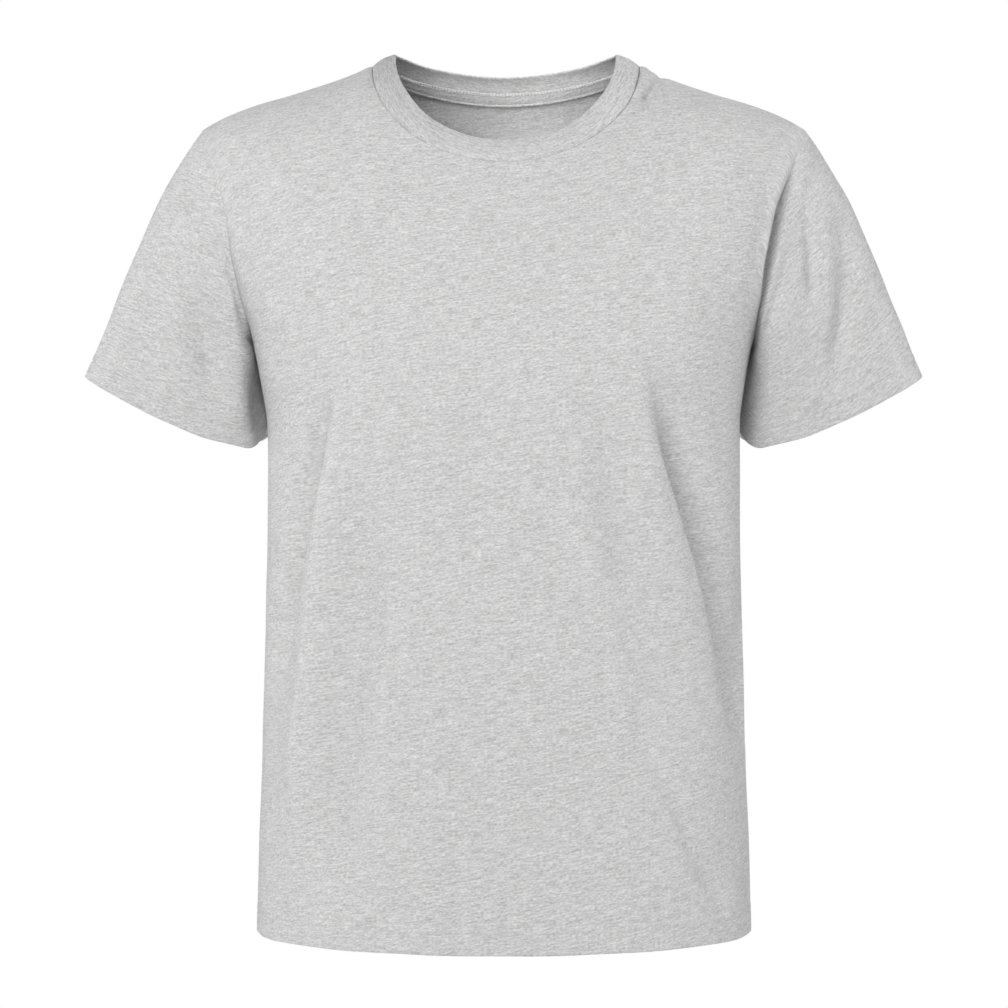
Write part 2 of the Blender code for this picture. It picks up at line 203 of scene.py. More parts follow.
# The shoulder line, a row for each distance from the middle: how high and where the cloth turns over
# there, and how far down and how roundly it rolls out to its full depth.
SHOULDER = Chart("across front_top back_top top_y front_roll front_power back_roll back_power", (
    (0.0000, 0.0020, 0.0220, 0.006, 0.300, 1.40, 0.220, 1.90),
    (0.0600, 0.0020, 0.0160, 0.007, 0.290, 1.45, 0.220, 1.90),
    (0.1070, 0.0000, 0.0000, 0.008, 0.260, 1.60, 0.220, 1.90),
    (0.1200, -0.0055, -0.0055, 0.008, 0.245, 1.68, 0.215, 1.90),
    (0.1375, -0.0125, -0.0125, 0.008, 0.225, 1.78, 0.208, 1.90),
    (0.1680, -0.0225, -0.0225, 0.008, 0.200, 1.90, 0.200, 1.90),
    (0.2010, -0.0320, -0.0320, 0.008, 0.190, 1.90, 0.190, 1.90),
    (0.2260, -0.0418, -0.0418, 0.007, 0.178, 1.90, 0.178, 1.90),
    (0.2445, -0.0520, -0.0520, 0.006, 0.170, 1.90, 0.170, 1.90),
    (0.2560, -0.0600, -0.0600, 0.006, 0.170, 1.90, 0.170, 1.90),
))

# The cuff, from its top fold (0) to the underarm (1): how far its edge hangs below the straight line
# between the two, and how far it stands out in front and behind.
CUFF = Chart("around front_drop back_drop front_reach back_reach", (
    (0.00, 0.0000, 0.0000, 0.0000, 0.0000),
    (0.12, 0.0030, 0.0022, 0.0150, 0.0140),
    (0.25, 0.0085, 0.0065, 0.0290, 0.0270),
    (0.50, 0.0220, 0.0170, 0.0420, 0.0400),
    (0.65, 0.0270, 0.0205, 0.0410, 0.0390),
    (0.80, 0.0270, 0.0200, 0.0330, 0.0310),
    (0.90, 0.0190, 0.0140, 0.0200, 0.0190),
    (1.00, 0.0000, 0.0000, 0.0000, 0.0000),
))


@dataclass(frozen=True)
class TrunkForm:
    """The form of the shirt's body, and the curves that its neck and its armholes are cut to."""

    hem_height: float = -0.701
    underarm_height: float = -0.225
    tip_half_width: float = 0.2445
    neck_half_width: float = 0.107
    front_neck_drop: float = 0.086
    back_neck_drop: float = 0.018
    armhole_depth_share: float = 0.37
    armhole_widest_height: float = -0.150

    def panel_half_width(self, height: Array) -> Array:
        """Half width of a panel: out to the side seam, or to where the armhole cuts the section.

        Args:
            height: The heights to read it at.

        Returns:
            The half width at each.
        """
        armhole = self.armhole_widest_height - self.underarm_height
        below = np.clip((self.armhole_widest_height - height) / armhole, 0, 1)
        cut = self.armhole_depth_share * np.sqrt(1 - below**2)
        roundness = BODY.read("roundness", height)
        return BODY.read("half_width", height) * (1 - cut**roundness) ** (1 / roundness)

    def point(self, side: Side, x: Array, height: Array) -> Array:
        """A point of the body's surface.

        Args:
            side: The front or the back.
            x: The point's X.
            height: The point's height.

        Returns:
            The point.
        """
        face = side.name.lower()
        away = np.abs(x)
        roundness = BODY.read("roundness", height)
        bulge = np.clip(1 - (away / BODY.read("half_width", height)) ** roundness, 0, 1)
        full = side.value * BODY.read(face + "_depth", height) * bulge ** (1 / roundness)
        below = (SHOULDER.read(face + "_top", away) - height) / SHOULDER.read(face + "_roll", away)
        power = SHOULDER.read(face + "_power", away)
        rolled = (1 - (1 - np.clip(below, 0, 1)) ** power) ** (1 / power)
        top = SHOULDER.read("top_y", away)
        return np.stack([x, top + (full - top) * rolled, height], -1)

    def neck_curve(self, side: Side, turn: Array, spread: float = 0.0) -> tuple[Array, Array]:
        """The neck seam, or a curve outside it.

        Args:
            side: The front or the back.
            turn: How far round the panel's share of the neck, from -1 to 1.
            spread: How far outside the seam.

        Returns:
            X and height of the curve.
        """
        drop, power = (self.front_neck_drop, 1) if side is Side.FRONT else (self.back_neck_drop, 2)
        dip = np.cos(turn * np.pi / 2) ** power
        shoulder = SHOULDER.read("front_top", self.neck_half_width + spread)
        x = (self.neck_half_width + spread) * np.sin(turn * np.pi / 2)
        return x, -(drop + spread) * dip + shoulder * (1 - dip)

    def clear_of(self, points: Array, clearance: float, run: float, touch: float) -> Array:
        """Pushes points of the left sleeve out until they are clear of the body's side.

        Args:
            points: The points.
            clearance: How far clear they end up.
            run: How far below the underarm that is reached.
            touch: How far clear they are at the underarm.

        Returns:
            The moved points.
        """
        x, y, z = np.moveaxis(points, -1, 0)
        depth = np.where(y < 0, BODY.read("front_depth", z), BODY.read("back_depth", z))
        roundness = BODY.read("roundness", z)
        inside = 1 - np.clip(np.abs(y) / depth, 0, 1) ** roundness
        trunk = BODY.read("half_width", z) * inside ** (1 / roundness)
        below = np.clip((self.underarm_height - z) / run, 0, 1)
        least = np.where(z < self.underarm_height, trunk + touch + (clearance - touch) * below, -1)
        return np.stack([np.maximum(x, least), y, z], -1)


@dataclass(frozen=True)
class Tuck:
    """How an armhole seam lies between the body and the sleeve once the shirt is worn.

    Its sizes are a row for each place round the armhole, from the shoulder tip (0) to the underarm (1):
    how many millimetres the seam is tucked in behind the body's edge, filled out in front, and pushed
    out along the arm. The fill eases off in the panel as a power of what is left of its reach.
    """

    sizes: Chart
    panel_reach: float = 2.4 * MM
    sleeve_reach: float = 18 * MM
    fill_reach: float = 28 * MM
    fill_power: float = 1.6
    slide_reach: float = 40 * MM

    def shift(self, around: Array, side: Array | int, away: Array, in_sleeve: bool) -> Array:
        """How far the cloth near the seam is moved, on the wearer's left.

        Args:
            around: Places round the armhole.
            side: The side that each is on, as the sign of its Y.
            away: How far from the seam.
            in_sleeve: Whether the cloth is the sleeve's, not the panel's.

        Returns:
            The way that each place moves.
        """
        tuck, fill, slide = (self.sizes.read(column, around) * MM for column in ("tuck", "fill", "slide"))
        reach = self.sleeve_reach if in_sleeve else self.panel_reach
        share = np.clip(away / self.fill_reach, 0, 1)
        rise = 1 - smooth_step(share) if in_sleeve else (1 - share) ** self.fill_power
        inward = tuck * (1 - smooth_step(away / reach)) - fill * rise
        outward = slide * (1 - smooth_step(away / self.slide_reach))
        return np.stack([outward, -side * inward, 0 * inward], -1)


TUCKS = {
    Arm.LEFT: Tuck(Chart("around tuck fill slide", (
        (0.00, 0, 0, 0), (0.12, 0, 3, -1), (0.25, 6, 8, -3), (0.42, 18, 13, -5),
        (0.60, 20, 13, -3), (0.78, 7, 7, 0), (0.90, 2, 2, 0), (1.00, 0, 0, 0),
    ))),
    Arm.RIGHT: Tuck(Chart("around tuck fill slide", (
        (0.00, 0, 0, 0), (0.15, 0, 3, 0), (0.35, 1, 6, 0), (0.50, 2, 7, 2),
        (0.62, 3, 4, 5), (0.74, 3, 1, 5), (0.86, 0, 0, 2), (1.00, 0, 0, 0),
    ))),
}


@dataclass(frozen=True)
class Fold:
    """A soft trough in the cloth, or a ridge where its depth is negative.

    It follows a curve through its own points, as (x, z) seen from the front, and grows and dies away
    over a share of its length at each end. Its two flanks, towards -X and +X, have their own widths.
    Its points, its depth and its widths are in millimetres.
    """

    path: tuple[tuple[float, float], ...]
    depth: float
    left: float
    right: float
    grows: float = 0.4
    dies: float = 0.4
    samples: int = 72
    fineness: int = 6

    def line(self) -> Array:
        """The fold's line.

        Returns:
            Evenly spaced points on a smooth curve through its own, in metres.
        """
        own = np.array(self.path) * MM
        at = travelled(own)
        dense = np.linspace(0, at[-1], self.fineness * self.samples)
        weights = hump(dense[:, None] - dense, at[-1] / (2 * len(own)))
        soft = weights @ read_between(dense, at, own) / weights.sum(axis=1, keepdims=True)
        share = (dense / at[-1])[:, None]
        soft += (own[0] - soft[0]) * (1 - share) + (own[-1] - soft[-1]) * share
        reached = travelled(soft)
        return read_between(np.linspace(0, reached[-1], self.samples), reached, soft)

    def taken_in(self, x: Array, z: Array) -> Array:
        """How far the fold takes the cloth in.

        Args:
            x: The X of each point.
            z: The height of each point.

        Returns:
            The depth of the fold at each point.
        """
        line = self.line()
        reach = 3 * max(self.left, self.right) * MM
        low, high = line.min(axis=0) - reach, line.max(axis=0) + reach
        near = (x > low[0]) & (x < high[0]) & (z > low[1]) & (z < high[1])
        depth = np.zeros_like(x)
        if not near.any():
            return depth
        tangent = unit(np.gradient(line, axis=0))
        places = np.stack([x[near], z[near]], -1)
        nearest = ((places[:, None] - line) ** 2).sum(axis=-1).argmin(axis=1)
        away, run = places - line[nearest], tangent[nearest]
        spacing = np.linalg.norm(line[1] - line[0])
        along = (nearest + (away * run).sum(axis=-1) / spacing) / (len(line) - 1)
        across = away[:, 0] * -run[:, 1] + away[:, 1] * run[:, 0]
        rightward = across * np.sign(line[0, 1] - line[-1, 1])
        flank = np.where(rightward < 0, self.left, self.right) * MM
        swell = smooth_step(along / self.grows) * smooth_step((1 - along) / self.dies)
        depth[near] = self.depth * MM * swell * hump(across, flank)
        return depth


@dataclass(frozen=True)
class Unevenness:
    """The slight rise and fall of worn cloth between its folds: many long soft waves, summed."""

    seed: int
    height: float
    shortest: float
    longest: float
    waves: int = 16

    def at(self, flat: Array) -> Array:
        """The cloth's rise.

        Args:
            flat: Places in the flat cloth.

        Returns:
            The rise at each, of about the stated height.
        """
        random = np.random.default_rng(self.seed)
        total = np.zeros(flat.shape[:-1])
        for _ in range(self.waves):
            length = random.uniform(self.shortest, self.longest)
            heading, start = random.uniform(0, 2 * np.pi, 2)
            total += np.sin(2 * np.pi * flat @ (np.cos(heading), np.sin(heading)) / length + start)
        return self.height * total / math.sqrt(self.waves)


@dataclass(frozen=True)
class Wall:
    """How thick the cloth is, and how it sinks towards a seam."""

    thickness: float = 1.1 * MM
    seam_sink: float = 0.06 * MM
    seam_reach: float = 1.3 * MM
    seam_rounding: float = 0.03 * MM
    seam_lift: float = 0.93
    edge_steps: tuple[float, ...] = (0, 0.03 * MM, 0.15 * MM, 0.6 * MM, 1.8 * MM)

    def sunk(self, from_seam: Array) -> Array:
        """How far the cloth sinks at a distance from a seam."""
        return self.seam_sink * (1 - smooth_step(from_seam / self.seam_reach))


@dataclass(frozen=True)
class Hem:
    """A hem: the cloth is turned up inside and held by two rows of stitches, which dent it."""

    depth: float = 24.5 * MM
    stitch_lines: tuple[float, ...] = (16.5 * MM, 22.9 * MM)
    dent: float = 0.45 * MM
    dent_reach: float = 0.8 * MM
    puff: float = 0.35 * MM
    inner_step: float = 0.6 * MM
    edge_steps: tuple[float, ...] = (0, 0.3 * MM, 0.8 * MM, 1.5 * MM, 3 * MM, 6 * MM, 10 * MM)
    dent_steps: tuple[float, ...] = (-2.2, -1.1, -0.5, 0, 0.5, 1.1, 2.2)
    inner_steps: tuple[float, ...] = (-0.5, 0.5, 2)

    def rows(self) -> Array:
        """Finds the distances from the hem's edge that its rounding, stitches and inner edge need.

        Returns:
            The distances, in order.
        """
        dents = [line + step * self.dent_reach for line in self.stitch_lines for step in self.dent_steps]
        inner = [self.depth + step * self.inner_step for step in self.inner_steps]
        return np.array(sorted([*self.edge_steps, *dents, *inner]))

    def row_of(self, line: float) -> int:
        """The row of the cloth that a line of stitches follows."""
        return int(np.abs(self.rows() - line).argmin())

    def layers(self, from_edge: Array) -> Array:
        """How many layers of cloth there are at a distance from the hem's edge: two, then one."""
        return 2 - smooth_step((from_edge - self.depth) / self.inner_step + 0.5)

    def relief(self, from_edge: Array) -> Array:
        """How far the outside is taken in near the hem; below zero where the double cloth puffs out."""
        puff = self.puff * (1 - smooth_step((from_edge - self.stitch_lines[-1]) / (3 * self.inner_step)))
        return self.dent * sum(hump(from_edge - line, self.dent_reach) for line in self.stitch_lines) - puff


@dataclass(frozen=True)
class Askew:
    """How the wearer's left side of the neck sits a little further out than the right."""

    out: float = 2.8 * MM
    place: float = 0.100
    reach: float = 0.055
    lowest: float = -0.100
    rise: float = 0.080

    def settle(self, points: Array) -> Array:
        """Points, with those near that side of the neck moved."""
        near = hump(points[..., 0] - self.place, self.reach)
        return points + np.multiply.outer(
            self.out * near * smooth_step((points[..., 2] - self.lowest) / self.rise), (1, 0, 0)
        )


@dataclass
class Cloth:
    """A piece of cloth as a grid of points: rows from a free edge to a sewn one, columns across.

    A closed piece is a tube or a ring, whose last column is joined to its first. Some cells at each
    side take the slope of the flat cloth from the cell beside them, and no slope passes the steepest.
    """

    laid: Array
    closed: bool
    side_cells: int = 0
    steepest: float = 0.95
    base: Array = field(init=False)
    points: Array = field(init=False)
    normals: Array = field(init=False)
    flat: Array = field(init=False)

    def __post_init__(self) -> None:
        """Works out the grid's normals and where each of its points lies in the flat cloth."""
        self.base = self.points = Askew().settle(self.laid)
        self.normals = grid_normals(self.base, self.closed)
        ring = np.concatenate([self.base, self.base[:, :1]], axis=1) if self.closed else self.base
        up = travelled(ring)
        steps = np.linalg.norm(np.diff(ring, axis=1), axis=-1)
        slope = np.diff(up, axis=1) / steps
        if self.side_cells:
            slope[:, : self.side_cells] = slope[:, self.side_cells, None]
            slope[:, -self.side_cells :] = slope[:, -self.side_cells - 1, None]
        climb = np.clip(slope, -self.steepest, self.steepest) * steps
        across, along = summed(np.sqrt(steps**2 - climb**2), 1), summed(climb, 1)
        middle = across.shape[1] // 2
        along += up[:, middle, None] - along[:, middle, None]
        self.flat = np.stack([across - across[:, middle, None], along], -1)

    @property
    def places(self) -> Array:
        """Where each point lies in the flat cloth, once for each column."""
        return self.flat[:, : self.base.shape[1]]

    @property
    def from_edge(self) -> Array:
        """How far each point is from the first row, along its column."""
        return travelled(self.base)

    @property
    def from_seam(self) -> Array:
        """How far each point is from the last row, along its column."""
        return self.from_edge[-1] - self.from_edge

    @property
    def from_side(self) -> Array:
        """Measures how far each point is from the nearer side edge, along its row.

        Returns:
            The distances, endless on a closed piece.
        """
        if self.closed:
            return np.full(self.base.shape[:2], np.inf)
        across = travelled(self.base, 1)
        return np.minimum(across, across[:, -1:] - across)

    def take_in(self, depth: Array) -> None:
        """Moves the cloth in from its form, and turns its normals except along its seams.

        Args:
            depth: How far in each point goes.
        """
        self.points = self.base - self.normals * depth[..., None]
        turned = grid_normals(self.points, self.closed)
        turned[-1] = self.normals[-1]
        if not self.closed:
            turned[:, [0, -1]] = self.normals[:, [0, -1]]
        self.normals = turned

    def skins(self, name: str, thickness: Array, wall: Wall) -> Object:
        """Makes the piece as two skins that meet in a rounded edge all round.

        Args:
            name: The piece's name.
            thickness: How thick the cloth is at each point.
            wall: How it rounds off at a seam.

        Returns:
            The new object.
        """
        half = thickness[..., None] / 2
        sewn = np.clip(np.minimum(self.from_seam, self.from_side)[..., None] / wall.seam_rounding, 0, 1)
        free = np.clip(self.from_edge[..., None] / half, 0, 1)
        swell = np.sqrt(1 - (1 - np.minimum(free, sewn)) ** 2)
        lift = wall.seam_lift * (1 - sewn) * free
        outer = self.points - self.normals * half * (1 - lift) * (1 - swell)
        inner = self.points - self.normals * half * (1 - lift + (1 + lift) * swell)
        points, inside, faces = self.join_skins(outer, inner)
        flat_faces = cells(np.arange(self.flat[..., 0].size).reshape(self.flat.shape[:2]))
        a, b, d = (points[faces[:, corner]] for corner in (0, 1, 3))
        facing = (np.cross(b - a, d - a) * self.normals.reshape(-1, 3)[faces[:, 0]]).sum()
        turn = 1 if facing > 0 else -1
        faces = np.concatenate([faces[:, ::turn], inside[:, ::-turn]])
        corners = np.concatenate([flat_faces[:, ::turn], flat_faces[:, ::-turn]])
        return mesh_object(name, points, faces, self.flat.reshape(-1, 2)[corners.ravel()])

    def join_skins(self, outer: Array, inner: Array) -> tuple[Array, Array, Array]:
        """Joins the two skins along the edges of the piece, where they share their points.

        Args:
            outer: The grid of the outer skin.
            inner: The grid of the inner skin.

        Returns:
            The points, the faces of the inner skin and the faces of the outer one.
        """
        rim = np.zeros(outer.shape[:2], bool)
        rim[[0, -1]] = True
        rim[:, [0, -1]] |= not self.closed
        outside = np.arange(rim.size).reshape(rim.shape)
        inside = outside.copy()
        inside[~rim] = rim.size + np.arange((~rim).sum())
        if self.closed:
            outside, inside = (np.concatenate([skin, skin[:, :1]], axis=1) for skin in (outside, inside))
        return np.concatenate([outer.reshape(-1, 3), inner[~rim]]), cells(inside), cells(outside)


def mesh_object(name: str, points: Array, faces: Array, flat: Array) -> Object:
    """Makes an object from points and from faces that all have as many corners.

    Args:
        name: The object's name.
        points: Its points.
        faces: The points of each face.
        flat: The place in the flat cloth of each corner of each face.

    Returns:
        The new object, smooth, linked to the scene.
    """
    mesh = bpy.data.meshes.new(name)
    count, size = faces.shape
    mesh.vertices.add(len(points))
    mesh.vertices.foreach_set("co", points.astype(np.float32).ravel())
    mesh.loops.add(count * size)
    mesh.loops.foreach_set("vertex_index", faces.astype(np.int32).ravel())
    mesh.polygons.add(count)
    mesh.polygons.foreach_set("loop_start", np.arange(0, count * size, size, dtype=np.int32))
    mesh.update(calc_edges=True)
    mesh.uv_layers.new(name=FLAT_MAP).uv.foreach_set("vector", flat.astype(np.float32).ravel())
    mesh.shade_smooth()
    mesh.validate()
    piece = bpy.data.objects.new(name, mesh)
    bpy.context.scene.collection.objects.link(piece)
    return piece


@dataclass(frozen=True)
class Spots:
    """Spots of noise: how long across the grain, how wide along it, how finely layered, how strong.

    The shift is any number, which sets one noise apart from another.
    """

    length: float
    width: float
    detail: float
    shift: float
    share: float


class NodeSketch:
    """The nodes of a material or of the surroundings in the making, which feed its shader."""

    def __init__(self, owner: Material | bpy.types.World) -> None:
        """Starts the nodes of a material or a world."""
        owner.use_nodes = True
        self.tree = owner.node_tree

    def feed(self, node: bpy.types.Node, values: Values) -> None:
        """Links other nodes' outputs to sockets of a node, or sets plain values on them.

        Args:
            node: The node.
            values: What each socket is fed, by its name or number.
        """
        for name, value in values.items():
            if isinstance(value, bpy.types.NodeSocket):
                self.tree.links.new(value, node.inputs[name])
            else:
                node.inputs[name].default_value = value

    def shade(self, shader: str = "Principled BSDF", **values: Value | tuple[float, ...]) -> None:
        """Feeds the shader's own sockets, whose spaces are written as underscores."""
        named = {name.replace("_", " "): value for name, value in values.items()}
        self.feed(self.tree.nodes[shader], named)

    def add(self, kind: str, output: str | int, values: Values, **settings: str | bool) -> Socket:
        """Adds a node.

        Args:
            kind: Its type.
            output: The output that is wanted, by its name or number.
            values: What its sockets are fed.
            settings: Its properties.

        Returns:
            That output.
        """
        node = self.tree.nodes.new(kind)
        for setting, value in settings.items():
            setattr(node, setting, value)
        self.feed(node, values)
        return node.outputs[output]

    def maths(self, operation: str, *values: Value) -> Socket:
        """The result of a Math node that works out something from one to three values."""
        return self.add("ShaderNodeMath", "Value", dict(enumerate(values)), operation=operation)

    def flat_place(self) -> tuple[Socket, Socket]:
        """How far across the grain and how far along it, in the flat cloth."""
        place = self.add("ShaderNodeUVMap", "UV", {}, uv_map=FLAT_MAP)
        return tuple(self.add("ShaderNodeSeparateXYZ", axis, {"Vector": place}) for axis in "XY")

    def noise(self, across: Value, along: Value, spots: Spots) -> Socket:
        """Soft noise.

        Args:
            across: The place across the grain.
            along: The place along the grain.
            spots: The sizes of its spots.

        Returns:
            The noise, from about -0.5 to 0.5.
        """
        place = self.add("ShaderNodeCombineXYZ", "Vector", {
            "X": self.maths("MULTIPLY_ADD", across, 1 / spots.length, spots.shift),
            "Y": self.maths("MULTIPLY_ADD", along, 1 / spots.width, spots.shift),
        })
        values = {"Vector": place, "Scale": 1.0, "Detail": spots.detail}
        soft = self.add("ShaderNodeTexNoise", "Fac", values, noise_dimensions="2D")
        return self.maths("SUBTRACT", soft, 0.5)

    def mix(self, share: Value, first: Colour, second: Colour) -> Socket:
        """A colour between two, from 0 for the first to 1 for the second."""
        values = {0: share, 6: (*first, 1.0), 7: (*second, 1.0)}
        return self.add("ShaderNodeMix", 2, values, data_type="RGBA", clamp_factor=True)

    def bump(self, height: Value, distance: float, below: Socket | None = None) -> Socket:
        """The normal over a bump whose height is a share of a distance, on another bump if there is one."""
        values = {"Strength": 1.0, "Distance": distance, "Height": height}
        return self.add("ShaderNodeBump", "Normal", values if below is None else {**values, "Normal": below})


@dataclass(frozen=True)
class MelangeKnit:
    """Melange single jersey: pale and dark fibres spun together, which show as short wavering streaks.

    The streaks follow the courses, which run across the grain, at a slant. The share of the waver is
    how far it moves them, and only the darkest part of the hairs shows.
    """

    name: str = "melange_jersey"
    pale: Colour = (0.7965, 0.795, 0.793)
    dark: Colour = (0.402, 0.402, 0.402)
    waver: Spots = Spots(13 * MM, 13 * MM, 1.0, 0.4, 1.1 * MM)
    fine_streaks: Spots = Spots(2.5 * MM, 1.05 * MM, 2.0, 3.1, 0.62)
    long_streaks: Spots = Spots(9.5 * MM, 1.50 * MM, 2.0, 7.7, 0.48)
    patches: Spots = Spots(34 * MM, 5.5 * MM, 3.0, 12.9, 0.16)
    hairs: Spots = Spots(6.5 * MM, 0.62 * MM, 1.0, 21.7, 0.55)
    hairs_above: float = 0.14
    slant: float = 0.17
    wale: float = 0.84 * MM
    wale_share: float = 0.35
    course: float = 0.62 * MM
    loop_relief: float = 0.10 * MM
    fibre_relief: float = 0.16 * MM
    rib: float = 0.0
    rib_relief: float = 0.0
    roughness: float = 0.92
    sheen: float = 0.18
    sheen_roughness: float = 0.55
    specular: float = 0.25

    def build(self) -> Material:
        """Makes the finish.

        Returns:
            A material of nodes.
        """
        material = bpy.data.materials.new(self.name)
        sketch = NodeSketch(material)
        across, along = sketch.flat_place()
        wander = sketch.noise(across, along, self.waver)
        slanting = sketch.maths("MULTIPLY_ADD", across, -self.slant, along)
        wavering = sketch.maths("MULTIPLY_ADD", wander, 2 * self.waver.share, slanting)
        hairs = sketch.maths("SUBTRACT", sketch.noise(across, wavering, self.hairs), self.hairs_above)
        dark_hairs = sketch.maths("MULTIPLY", sketch.maths("MAXIMUM", hairs, 0.0), -1.0)
        mixed: Value = 0.5
        for spots in (self.fine_streaks, self.long_streaks, self.patches):
            place = slanting if spots is self.patches else wavering
            mixed = sketch.maths("MULTIPLY_ADD", sketch.noise(across, place, spots), 2 * spots.share, mixed)
        mixed = sketch.maths("MULTIPLY_ADD", dark_hairs, 2 * self.hairs.share, mixed)
        relief = sketch.bump(self.loops(sketch, across, along), self.loop_relief)
        relief = sketch.bump(mixed, self.fibre_relief, relief)
        if self.rib:
            ribs = sketch.maths("SINE", sketch.maths("MULTIPLY", across, 2 * math.pi / self.rib))
            relief = sketch.bump(ribs, self.rib_relief, relief)
        sketch.shade(
            Base_Color=sketch.mix(mixed, self.dark, self.pale), Normal=relief, Roughness=self.roughness,
            Sheen_Weight=self.sheen, Sheen_Roughness=self.sheen_roughness, Specular_IOR_Level=self.specular,
        )
        return material

    def loops(self, sketch: NodeSketch, across: Socket, along: Socket) -> Socket:
        """The height of the knit's loops: leaning pairs of legs, a wale wide and a course high.

        Args:
            sketch: The material in the making.
            across: The place across the grain.
            along: The place along the grain.

        Returns:
            The height, from about -1 to 1.
        """
        lean = sketch.maths("PINGPONG", across, self.wale / 2)
        turns = sketch.maths("MULTIPLY", sketch.maths("ADD", along, lean), 2 * math.pi / self.course)
        ridge = sketch.maths("SINE", sketch.maths("MULTIPLY", across, 2 * math.pi / self.wale))
        return sketch.maths("MULTIPLY_ADD", ridge, self.wale_share, sketch.maths("SINE", turns))


@dataclass(frozen=True)
class SewingThread:
    """Spun sewing thread: soft grey, with the lean of its plies, and painted shade that darkens its colour
    in the grooves between the plies.
    """

    name: str
    colour: Colour
    # the painted shade in the grooves between the plies, as a share of the thread's colour
    shade: float = 0.80
    ply: float = 0.42 * MM
    lean: float = 1.2
    ply_relief: float = 0.05 * MM
    roughness: float = 0.72
    sheen: float = 0.12

    def build(self) -> Material:
        """Makes the finish.

        Returns:
            A material of nodes.
        """
        material = bpy.data.materials.new(self.name)
        sketch = NodeSketch(material)
        around, along = sketch.flat_place()
        slant = sketch.maths("MULTIPLY_ADD", around, self.lean, along)
        plies = sketch.maths("SINE", sketch.maths("MULTIPLY", slant, 2 * math.pi / self.ply))
        share = sketch.maths("MULTIPLY_ADD", plies, 0.5, 0.5)
        # painted shade: the colour darkens where the ply bump is lowest, in the grooves between the plies
        painted_groove_shade = tuple(self.shade * part for part in self.colour)
        sketch.shade(
            Base_Color=sketch.mix(share, painted_groove_shade, self.colour), Normal=sketch.bump(plies, self.ply_relief),
            Roughness=self.roughness, Sheen_Weight=self.sheen,
        )
        return material


